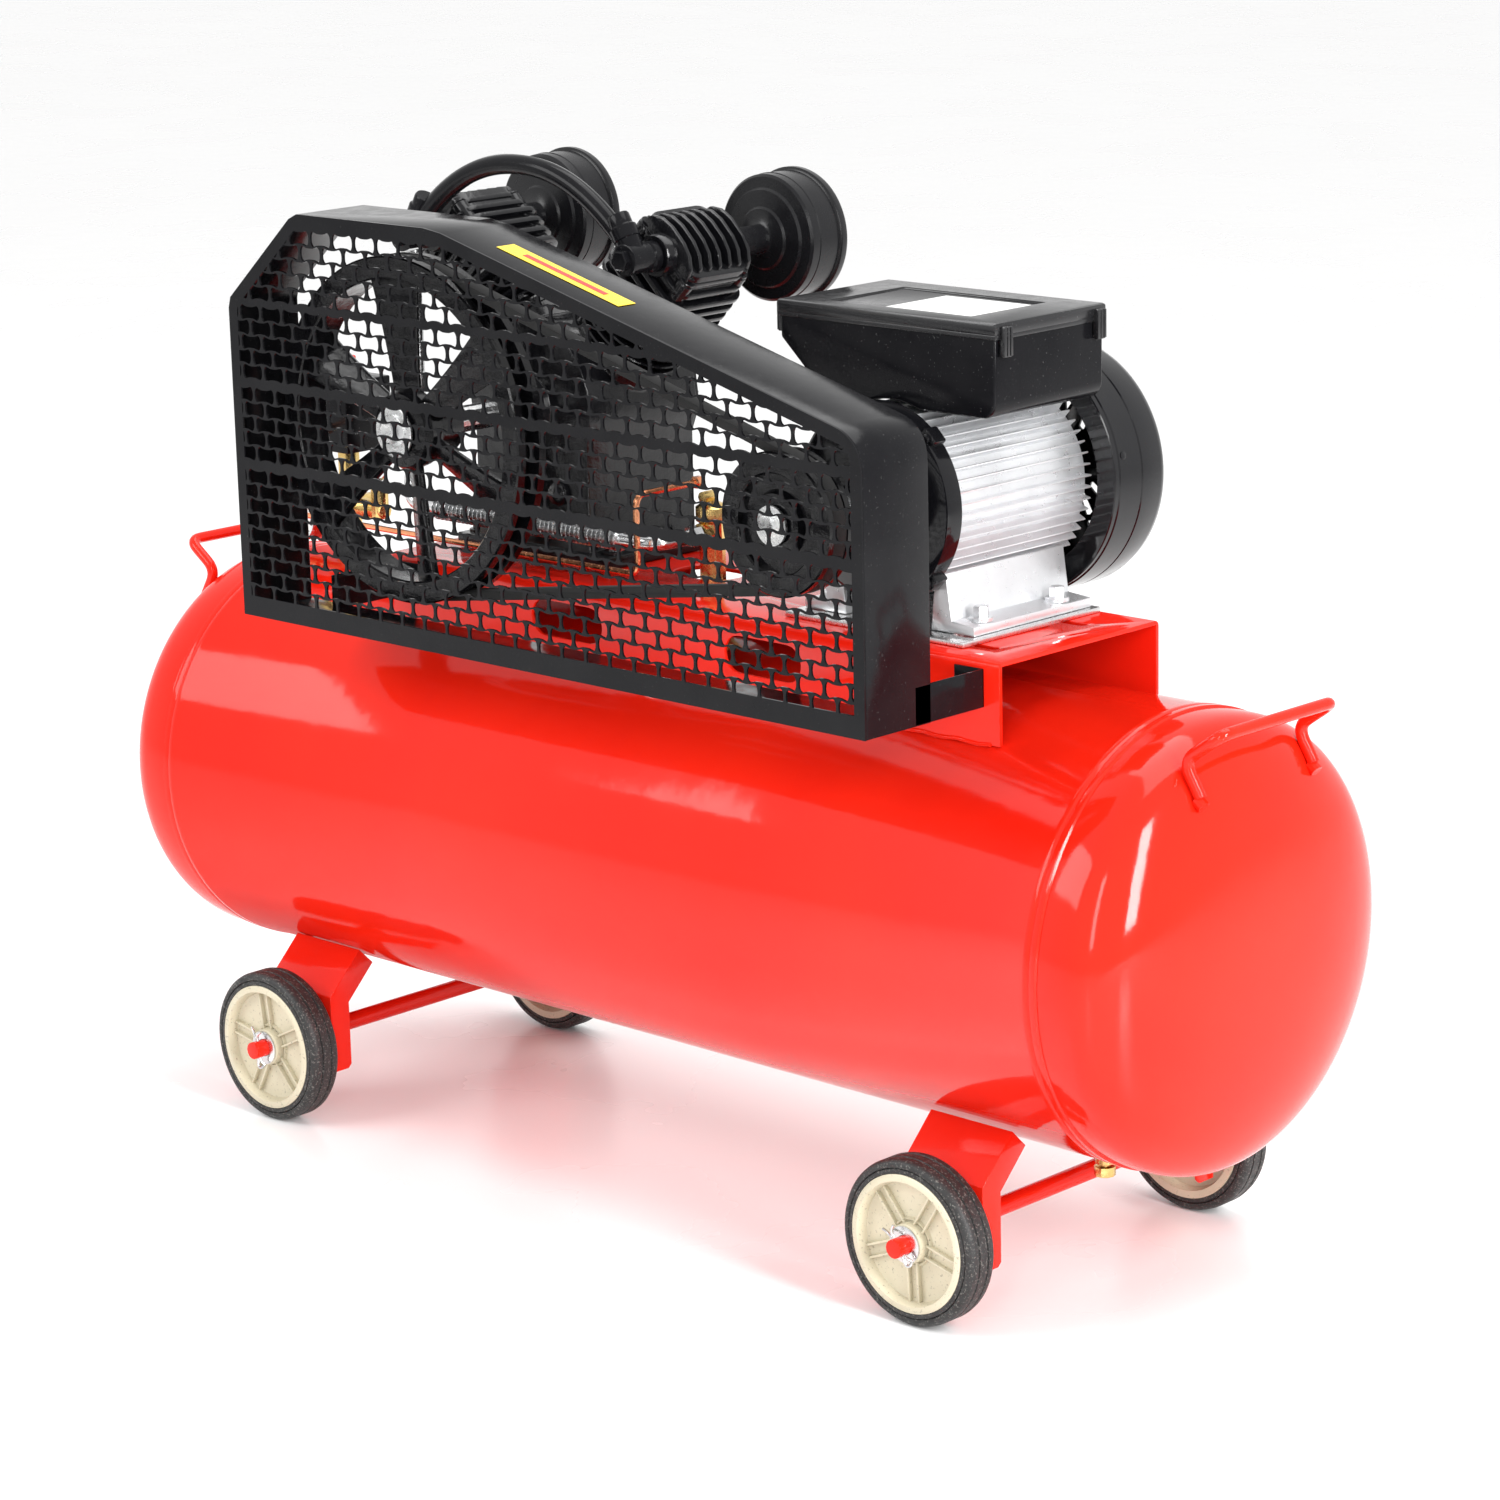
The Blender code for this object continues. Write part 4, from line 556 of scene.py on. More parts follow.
    @staticmethod
    def hung(x: float, z: float, angle: float) -> Matrix:
        """Returns the move that turns a piece about y and carries it from the origin to (x, z)."""
        return Matrix.Translation((x, 0, z)) @ Matrix.Rotation(-angle, 4, "Y")

    @staticmethod
    def smooth(piece: Object, angle: float = 34) -> Object:
        """Shades a piece smooth except across its sharp edges.

        Args:
            piece: the piece.
            angle: the sharpest edge, in degrees, that still shades smooth.

        Returns:
            The same piece.
        """
        Bench.pick(piece)
        bpy.ops.object.shade_smooth_by_angle(angle=radians(angle))
        return piece

    @staticmethod
    def refined(node: str, bevel: float, segments: int = 2, angle: float = 32) -> Object:
        """Copies a frame node, merges its loose triangles and rounds its edges.

        Args:
            node: the frame node's name.
            bevel: the edge's width.
            segments: facets in the edge.
            angle: the least angle that counts as an edge.

        Returns:
            The copy.
        """
        Bench.pick(frame["nodes"][node])
        bpy.ops.object.duplicate()
        piece = bpy.context.object
        piece.name = piece.data.name = node + "_skin"
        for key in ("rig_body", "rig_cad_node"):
            if key in piece:
                del piece[key]
        piece.parent = None
        Bench.edit(piece)
        bpy.ops.mesh.remove_doubles(threshold=2e-5)
        bpy.ops.mesh.dissolve_limited(angle_limit=radians(0.6))
        bpy.ops.object.mode_set(mode="OBJECT")
        return Bench.rounded(piece, bevel, segments, angle)


@dataclass
class Assembly:
    """What every sub-assembly shares: it dresses its pieces and hangs them on their bodies."""

    def put(self, piece: Object, finish: Finish, body: str, slot: str, *nodes: str,
            angle: float = 34) -> Object:
        """Dresses a piece and fixes it to its body.

        Args:
            piece: the finished mesh.
            finish: its surface.
            body: the body it rides on.
            slot: the record's material slot; not used.
            nodes: the frame nodes it stands for.
            angle: the sharpest edge, in degrees, that still shades smooth.

        Returns:
            The piece.
        """
        Bench.smooth(piece, angle)
        piece.data.materials.clear()
        piece.data.materials.append(finish.material())
        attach(piece, body)
        if nodes:
            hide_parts(*nodes)
        LOG.info("%s: %d faces on %s", piece.name, len(piece.data.polygons), body)
        return piece

    def keep(self, node: str, finish: Finish) -> None:
        """Gives a frame node that keeps its shape a better surface.

        Args:
            node: the frame node's name.
            finish: its surface.
        """
        mesh = frame["nodes"][node].data
        mesh.materials.clear()
        mesh.materials.append(finish.material())
        LOG.info("%s: kept", node)

    @staticmethod
    def middle(node: str) -> Vector:
        """Returns the centre of a frame node's box."""
        low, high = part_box(node)
        return (low + high) / 2

    @staticmethod
    def bolt(name: str, at: Sequence[float], axis: Sequence[float], radius: float, tall: float,
            steps: int = 6) -> Object:
        """Makes a hexagon or round screw head on a washer.

        Args:
            name: the screw's name.
            at: the middle of its seat.
            axis: the way the head points.
            radius: the head's corner radius.
            tall: the head's height.
            steps: 6 for a hexagon, more for a round head.

        Returns:
            The screw.
        """
        washer_tall = tall * 0.28
        washer = [(0, 0), (radius * 1.5, 0), (radius * 1.5, washer_tall * 0.8),
            (radius * 1.4, washer_tall), (0, washer_tall)]
        head = [(0, washer_tall), (radius, washer_tall), (radius, tall * 0.9),
            (radius * 0.86, tall), (0, tall)]
        return Bench.joined(name, [Bench.turned("w", washer, at, axis, 24),
            Bench.turned("h", head, at, axis, steps)])


# ---------------------------------------------------------------- tank and frame

@dataclass
class Receiver(Assembly):
    """The air tank: a rolled shell with two pressed ends, its seam bands and its ports."""

    radius: float = 0.2015
    seam: float = 0.562
    straight: float = 0.028
    depth: float = 0.075
    power: float = 2.45
    rise: float = 0.0014

    def end_radius(self, along: float) -> float:
        """Returns the pressed end's radius at a distance past its straight flange."""
        share = min(max(along / self.depth, 0.0), 1.0)
        return self.radius * (1 - share ** self.power) ** (1 / self.power)

    def profile(self) -> list[tuple[float, float]]:
        """Draws the shell's outline from pole to pole, with its weld bands.

        Returns:
            The outline, as (radius, distance along the tank) pairs.
        """
        dome = []
        for step in range(25):
            angle = pi / 2 * step / 24
            reach, out = sin(angle) ** (2 / self.power), cos(angle) ** (2 / self.power)
            dome.append((self.radius * out, self.seam + self.straight + self.depth * reach))
        band = [(self.radius, self.seam - 0.0090), (self.radius + self.rise, self.seam - 0.0070),
            (self.radius + self.rise, self.seam - 0.0020),
            (self.radius + self.rise * 0.35, self.seam), (self.radius + self.rise,
            self.seam + 0.0020), (self.radius + self.rise, self.seam + 0.0070),
            (self.radius - 0.0004, self.seam + 0.0082), (self.radius, self.seam + 0.0100)]
        half = [(self.radius, 0.2), *band, *dome]
        return [(r, -x) for r, x in reversed(half)] + half

    def build(self) -> None:
        """Turns the shell, sets its ports on it and dresses it."""
        centre = self.middle("tank_shell")
        shell = Bench.turned("tank_shell_skin", self.profile(), centre, Axis.X.value, 160)
        ports = [shell]
        for node, tall in (("check_valve", 1), ("manifold", 1), ("drain_valve", -1)):
            at = self.middle(node)
            skin = centre.z + tall * sqrt(self.radius ** 2 - (at.y - centre.y) ** 2)
            boss = [(0, -0.006), (0.0200, -0.006), (0.0185, 0.0012), (0.0165, 0.0026), (0, 0.0026)]
            ports.append(Bench.turned("port", boss, (at.x, at.y, skin), (0, 0, tall), 32))
        self.put(Bench.joined("tank_shell_skin", ports), RED, "tank", "red_paint", "tank_shell",
            angle=40)


@dataclass
class Handles(Assembly):
    """The two lifting bars, each bent from a rod and welded to the tank's end."""

    rod: float = 0.0055
    half: float = 0.077
    reach: float = 0.0386
    rise: float = 0.027

    def build(self, tank: Receiver) -> None:
        """Bends one bar, copies it to the other end and adds the weld beads.

        Args:
            tank: the shell the bars stand on.
        """
        centre = self.middle("tank_shell")
        start = tank.seam + tank.straight
        knee = (start + 0.036, self.lift(tank, 0.036, 1.149))
        toe = (start + 0.054, self.lift(tank, 0.054, 0.836))
        grip = (knee[0] + self.reach, knee[1] + self.rise)
        corners = [(toe[0], -self.half, toe[1]), (knee[0], -self.half, knee[1]),
            (grip[0], -self.half, grip[1])]
        corners += [(x, -y, z) for x, y, z in reversed(corners)]
        bar = Bench.bar("handle", Bench.bent(corners, 0.014, 6), self.rod, 4)
        beads = [bar]
        for side in (-1, 1):
            foot = [(toe[0] - 0.004, side * self.half, toe[1] - 0.0015), (toe[0] + 0.003,
                side * self.half, toe[1] - 0.0075)]
            beads.append(Bench.bar("bead", foot, self.rod * 1.05, 3))
        bar = Bench.joined("handle", beads)
        for side, name in ((1, "right"), (-1, "left")):
            move = Matrix.Translation((centre.x, centre.y, 0)) @ Matrix.Scale(side, 4, (1, 0, 0))
            piece = Bench.copied(bar, move, f"handle_{name}_skin")
            self.put(piece, RED, "tank", "red_paint", f"handle_{name}")
        bpy.data.objects.remove(bar)

    def lift(self, tank: Receiver, along: float, clear: float) -> float:
        """Finds the height at which the bar's middle clears the pressed end.

        Args:
            tank: the shell.
            along: the distance past the end's straight flange.
            clear: how many rod radii stand between the rod's middle and the skin.

        Returns:
            The height above the floor.
        """
        radius = tank.end_radius(along)
        slope = (tank.end_radius(along - 0.0005) - tank.end_radius(along + 0.0005)) / 0.001
        inner = self.half - self.rod
        skin = self.middle("tank_shell").z + sqrt(radius ** 2 - inner ** 2)
        return skin + self.rod * clear * sqrt(1 + slope ** 2)


@dataclass
class Platform(Assembly):
    """The folded channel over the tank that the pump and the motor are bolted to."""

    sheet: float = 0.004
    bend: float = 0.005
    slot_x: tuple[float, float] = (-0.077, 0.174)

    def build(self) -> None:
        """Folds the channel, pierces it and lays the weld beads along its feet."""
        low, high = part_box("platform")
        front, back, top = low.y, high.y, high.z
        outline = [(front, low.z), (front, top - self.bend)]
        for step in range(1, 5):
            angle = pi / 2 * step / 5
            outline.append((front + self.bend * (1 - cos(angle)),
                top - self.bend * (1 - sin(angle))))
        outline.append((front + self.bend, top))
        outline += [(front + back - y, z) for y, z in reversed(outline)]
        inner = [(back - self.sheet, low.z), (back - self.sheet, top - self.sheet),
            (front + self.sheet, top - self.sheet), (front + self.sheet, low.z)]
        deck = Bench.plate("platform_skin", outline + inner, low.x, high.x, Axis.X)
        slots = [self.slot(x, top - 0.036, 0.094, 0.034, front - 0.02, back + 0.02,
            Axis.Y) for x in self.slot_x]
        for y in (-0.066, 0.052):
            slots.append(self.slot(0.385, PLANE + y, 0.060, 0.010, top - 0.02, top + 0.02, Axis.Z))
        slots.append(self.slot(-0.005, PLANE + 0.01, 0.075, 0.052, top - 0.02, top + 0.02, Axis.Z))
        Bench.carved(deck, slots)
        Bench.rounded(deck, 0.0008, 2, 40)
        pieces = [deck]
        for y in (front - 0.0006, back + 0.0006):
            path = [(low.x + 0.01 + step * 0.0125, y,
                low.z + 0.0008 * sin(step * 1.9)) for step in range(61)]
            pieces.append(Bench.bar("bead", path, 0.0019, 2))
        piece = Bench.joined("platform_skin", pieces)
        self.put(piece, RED, "tank", "red_paint", "platform")

    @staticmethod
    def slot(x: float, across: float, long: float, wide: float, low: float, high: float,
            axis: Axis) -> Object:
        """Makes the punch for one obround slot.

        Args:
            x: the slot's middle along the tank.
            across: its middle across, as height for Y and depth for Z.
            long: its length.
            wide: its width.
            low: where the punch starts.
            high: where it ends.
            axis: the punch's direction.

        Returns:
            The punch.
        """
        outline, end = [], wide / 2
        for side in (1, -1):
            for step in range(9):
                angle = side * (-pi / 2 + pi * step / 8) if side > 0 else pi / 2 + pi * step / 8
                outline.append((x + side * (long / 2 - end) + end * cos(angle),
                    across + end * sin(angle)))
        return Bench.plate("punch", outline, low, high, axis)


@dataclass
class Undercarriage(Assembly):
    """Two folded legs on a through axle, under each end of the tank."""

    axle_z: float = 0.075
    weld_y: float = 0.1595

    def build(self) -> None:
        """Rounds both frames' folds and turns the axle's bare ends."""
        for side in ("left", "right"):
            node = f"undercarriage_{side}"
            low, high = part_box(node)
            x, centre = (low.x + high.x) / 2, (low.y + high.y) / 2
            legs = Bench.refined(node, 0.0012, 3, 28)
            axle = [(0, -0.2234), (0.0072, -0.2234), (0.00855, -0.2215), (0.00855, 0.2215),
                (0.0072, 0.2234), (0, 0.2234)]
            bar = Bench.turned("axle", axle, (x, centre, self.axle_z), Axis.Y.value, 32)
            pieces = [legs, bar]
            for end in (-1, 1):
                at = (x, centre + end * self.weld_y, self.axle_z)
                weld = [(0.0086, -0.004), (0.0125, -0.0005), (0.0135, 0.0010), (0.0115, 0.0045),
                    (0.0086, 0.0065)]
                pieces.append(Bench.turned("weld", weld + weld[:1], at, (0, end, 0), 28))
            piece = Bench.joined(f"{node}_skin", pieces)
            self.put(piece, RED, "tank", "red_paint", node)


@dataclass
class Wheels(Assembly):
    """Four solid-tyred wheels, each held by a washer and a split pin."""

    radius: float = 0.075
    rim: float = 0.0623
    bore: float = 0.0089
    width: float = 0.033

    def tyre(self) -> Object:
        """Moulds the tyre round the origin, its outer face at height zero, facing up.

        Returns:
            The tyre.
        """
        r, w = self.radius, self.width
        profile = [(self.rim + 0.0005, 0), (self.rim + 0.0040, -0.0004),
            (self.rim + 0.0048, -0.0016), (self.rim + 0.0056, -0.0004), (r - 0.0052, -0.0002),
            (r - 0.0026, -0.0012), (r - 0.0008, -0.0036), (r, -0.0068), (r, -0.0100),
            (r - 0.0012, -0.0106), (r - 0.0012, -0.0116), (r, -0.0122)]
        profile += [(rr, -w - z) for rr, z in reversed(profile)]
        return Bench.turned("tyre", [*profile, profile[0]], (0, 0, 0), Axis.Z.value, 96)

    def hub(self) -> Object:
        """Moulds the hub: a raised rim ring, a sunk web, five pairs of thin ribs and a boss.

        Returns:
            The hub.
        """
        rim, bore = self.rim, self.bore
        front = [(bore, 0.0006), (0.0165, 0.0006), (0.0178, 0.0), (0.0186, -0.0090),
            (0.0205, -0.0100), (rim - 0.0115, -0.0100), (rim - 0.0088, -0.0088),
            (rim - 0.0074, -0.0006), (rim - 0.0062, 0.0014), (rim - 0.0018, 0.0014), (rim, 0.0002)]
        back = [(rim, -0.0340), (rim - 0.0070, -0.0340), (rim - 0.0090, -0.0240), (0.0200, -0.0240),
            (0.0170, -0.0350), (bore, -0.0350)]
        hub = Bench.turned("hub", [*front, *back, front[0]], (0, 0, 0), Axis.Z.value, 72)
        pieces = [hub]
        for spoke in range(5):
            turn = Matrix.Rotation(TURN * spoke / 5 + radians(18), 4, "Z")
            for side in (-1, 1):
                low, high = (0.0172, side * 0.0056 - 0.0011), (rim - 0.0078, side * 0.0056 + 0.0011)
                outline = [low, (high[0], low[1]), high, (low[0], high[1])]
                rib = Bench.plate("rib", outline, -0.0108, -0.0052, Axis.Z, 0.0006)
                pieces += Bench.repeated(rib, [turn])
        ring = [(0.0195, -0.0102), (0.0200, -0.0075), (0.0216, -0.0070), (0.0226, -0.0102),
            (0.0195, -0.0102)]
        pieces.append(Bench.turned("ring", ring, (0, 0, 0), Axis.Z.value, 64))
        return Bench.joined("hub", pieces)

    def pin(self) -> Object:
        """Bends the washer and the splayed split pin that keep a wheel on.

        Returns:
            The two as one piece.
        """
        washer = [(self.bore, 0.0008), (0.0164, 0.0008), (0.0168, 0.0012), (0.0168, 0.0021),
            (0.0162, 0.0024), (self.bore, 0.0024), (self.bore, 0.0008)]
        pieces = [Bench.turned("washer", washer, (0, 0, 0), Axis.Z.value, 40)]
        loop = [(0.0030, -0.0165, 0.0060), (0.0, -0.0195, 0.0092), (-0.0030, -0.0165, 0.0095),
            (-0.0012, -0.0110, 0.0095), (-0.0009, 0.0115, 0.0095), (-0.0045, 0.0180, 0.0080),
            (-0.0085, 0.0215, 0.0062)]
        other = [(0.0030, -0.0165, 0.0060), (0.0014, -0.0110, 0.0095), (0.0010, 0.0115, 0.0095),
            (0.0040, 0.0160, 0.0098), (0.0075, 0.0180, 0.0088)]
        for name, path in (("near", loop), ("far", other)):
            pieces.append(Bench.bar(name, Bench.bent(path, 0.004, 4), 0.0014, 2))
        return Bench.joined("pin", pieces)

    def build(self) -> None:
        """Makes one wheel and copies it to the four corners."""
        tyre, hub, pin = self.tyre(), self.hub(), self.pin()
        for end in ("front", "rear"):
            for side in ("left", "right"):
                where = f"{end}_{side}"
                low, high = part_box(f"tyre_{where}")
                face, out = (low.y, -1) if end == "front" else (high.y, 1)
                spin = Matrix.Rotation(radians({"left": 8, "right": 40}[side]), 4, "Z")
                stand = Matrix.Translation(((low.x + high.x) / 2, face, self.radius))
                move = stand @ Bench.facing((0, out, 0)) @ spin
                body = f"wheel_{where}"
                self.put(Bench.copied(tyre, move, f"tyre_{where}_skin"), TYRE, body, "rubber",
                    f"tyre_{where}")
                self.put(Bench.copied(hub, move, f"hub_{where}_skin"), CREAM, body, "cream_plastic",
                    f"hub_{where}")
                self.put(Bench.copied(pin, move, f"retainer_{where}_skin"), STEEL, "tank", "zinc",
                    f"retainer_{where}")
        for piece in (tyre, hub, pin):
            bpy.data.objects.remove(piece)


# ---------------------------------------------------------------- belt guard and drive

@dataclass
class BeltGuard(Assembly):
    """The folded steel guard with its pierced front, its bars and a plain warning strip."""

    sheet: float = 0.002
    pitch: float = 0.0300
    row: float = 0.0139
    bars: tuple[float, ...] = (0.830, 0.755, 0.678)
    bar_half: float = 0.0042

    def __post_init__(self) -> None:
        """Takes the guard's corners from the frame."""
        low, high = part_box("guard_mesh")
        self.low, self.high = low, high
        crank = self.middle("flywheel")
        wheel = (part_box("flywheel")[1].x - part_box("flywheel")[0].x) / 2
        self.shoulder = (crank.x - 0.478 * wheel, crank.z + 0.693 * wheel)
        self.crest = crank.x + 0.69 * wheel
        self.tail = 0.784

    def outline(self, inset: float, foot: float | None = None,
            corner: float = 0.030) -> list[tuple[float, float]]:
        """Draws the guard's side view.

        Args:
            inset: how far it is drawn in from the guard's edge.
            foot: the inset of the bottom edge, or None for the same.
            corner: the rounding of the corner at the motor's end.

        Returns:
            The outline, as (x, z) pairs.
        """
        foot = inset if foot is None else foot
        left, right, top = self.low.x, self.high.x, self.high.z
        tail, fall = Vector((right, self.tail)), (top - self.tail) / (right - self.crest)
        slope = Vector((-1, fall)).normalized()
        rounding = []
        for step in range(9):
            part = step / 8
            start, finish = tail - Vector((0, corner * (1 - part))), tail + slope * corner * part
            rounding.append(start.lerp(finish, part))
        points = [Vector((left, self.low.z)), Vector((right, self.low.z)), *rounding,
            Vector((self.crest + 0.012, top - 0.003)), Vector((self.crest - 0.010, top)),
            Vector((self.shoulder[0] + 0.006, top)),
            Vector((self.shoulder[0] - 0.005, top - 0.005)),
            Vector((left + 0.003, self.shoulder[1] + 0.004)),
            Vector((left, self.shoulder[1] - 0.006))]
        drawn = []
        for before, point, after in zip(points[-1:] + points[:-1], points, points[1:] + points[:1]):
            first, second = (point - before).normalized(), (after - point).normalized()
            normal = Vector((-first.y - second.y, first.x + second.x)).normalized()
            reach = inset / max(normal.dot(Vector((-first.y, first.x))), 0.2)
            spot = point + normal * reach
            drawn.append((spot.x, self.low.z + foot if point.y == self.low.z else spot.y))
        return drawn

    def cell(self) -> list[tuple[float, float]]:
        """Draws one waisted cell round the origin.

        Returns:
            The outline, as (x, z) pairs.
        """
        quarter = [(0.0137, 0.0), (0.0134, 0.0032), (0.0122, 0.0057), (0.0104, 0.0069),
            (0.0078, 0.0062), (0.0044, 0.0053)]
        half = quarter + [(0.0, 0.0051)] + [(-x, z) for x, z in reversed(quarter)]
        return half + [(x, -z) for x, z in reversed(half[1:-1])]

    def rows(self) -> list[float]:
        """Spaces the rows of cells, leaving room for the bars.

        Returns:
            The rows' heights.
        """
        heights = []
        for base in self.bars:
            heights += [base + self.bar_half + self.row * (step + 0.5) for step in range(5)]
        below = self.bars[-1] - self.bar_half
        return heights + [below - self.row * (step + 0.5) for step in range(9)]

    def panel(self) -> Object:
        """Pierces the front plate with rows of cells that stop at its plain border.

        Returns:
            The panel.
        """
        plate = Bench.plate("guard_mesh_skin", self.outline(0.0), self.low.y, self.high.y)
        window = Bench.plate("window", self.outline(0.012, 0.0195, 0.022), self.low.y - 0.004,
            self.high.y + 0.004)
        first = Bench.plate("cell", self.cell(), self.low.y - 0.003, self.high.y + 0.003)
        columns = int((self.high.x - self.low.x) / self.pitch) + 2
        steps = [Matrix.Translation((column * self.pitch, 0, 0)) for column in range(columns)]
        course = Bench.joined("course", Bench.repeated(first, steps))
        lifts = [Matrix.Translation((self.low.x + 0.5 * (number % 2) * self.pitch, 0,
            z)) for number, z in enumerate(sorted(self.rows()))]
        cutter = Bench.joined("cells", Bench.repeated(course, lifts))
        Bench.pick(cutter)
        trim = cutter.modifiers.new("trim", "BOOLEAN")
        trim.operation, trim.object, trim.solver = "INTERSECT", window, "EXACT"
        bpy.ops.object.modifier_apply(modifier=trim.name)
        bpy.data.objects.remove(window)
        return Bench.carved(plate, [cutter])

    def band(self) -> Object:
        """Folds the skin round the guard's edge and adds its two tabs with their bolts.

        Returns:
            The skin.
        """
        low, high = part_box("guard_shell")
        depth = low.y + 0.0799
        skin = Bench.plate("guard_shell_skin", self.outline(0.0), low.y, depth)
        hollow = Bench.plate("hollow", self.outline(self.sheet), low.y - 0.01, depth + 0.01)
        Bench.carved(skin, [hollow])
        Bench.rounded(skin, 0.0007, 2, 40)
        pieces = [skin]
        for x, ear in ((self.high.x - self.sheet, self.high.x - 0.032), (-0.3061, -0.2761)):
            foot, head = low.z + 0.0005, low.z + 0.034
            pieces.append(Bench.block("tab", (x, depth - 0.020, foot),
                (x + self.sheet, high.y, head), 0.0006))
            near, far = min(x, ear), max(x + self.sheet, ear)
            pieces.append(Bench.block("ear", (near, high.y - self.sheet, foot), (far, high.y, head),
                0.0006))
            at = ((near + far) / 2, high.y - self.sheet, (foot + head) / 2)
            pieces.append(self.bolt("tab_bolt", at, Axis.FRONT.value, 0.006, 0.006))
        return Bench.joined("guard_shell_skin", pieces)

    def strip(self) -> None:
        """Lays a plain yellow strip with a red stripe along the sloping skin."""
        fall = (self.high.z - self.tail) / (self.high.x - self.crest)
        middle = 0.057
        top = self.high.z - (middle - self.crest) * fall + 0.0006
        turn = Matrix.Rotation(atan(fall), 4, "Y")
        for name, half, wide, lift, finish in (("warning_strip", 0.078, 0.0105, 0.0, YELLOW),
                ("warning_stripe", 0.052, 0.0032, 0.0003, LABEL_RED)):
            outline = [(-half, -wide), (half, -wide), (half, wide), (-half, wide)]
            label = Bench.plate(name, outline, 0.0, 0.0003, Axis.Z)
            label.matrix_world = Matrix.Translation((middle, self.low.y + 0.036, top + lift)) @ turn
            self.put(Bench.settle(label), finish, "tank", "black_paint")

    def build(self) -> None:
        """Makes the panel, the skin and the strip."""
        self.put(self.panel(), POWDER, "tank", "black_paint", "guard_mesh")
        self.put(self.band(), POWDER, "tank", "black_paint", "guard_shell")
        self.strip()


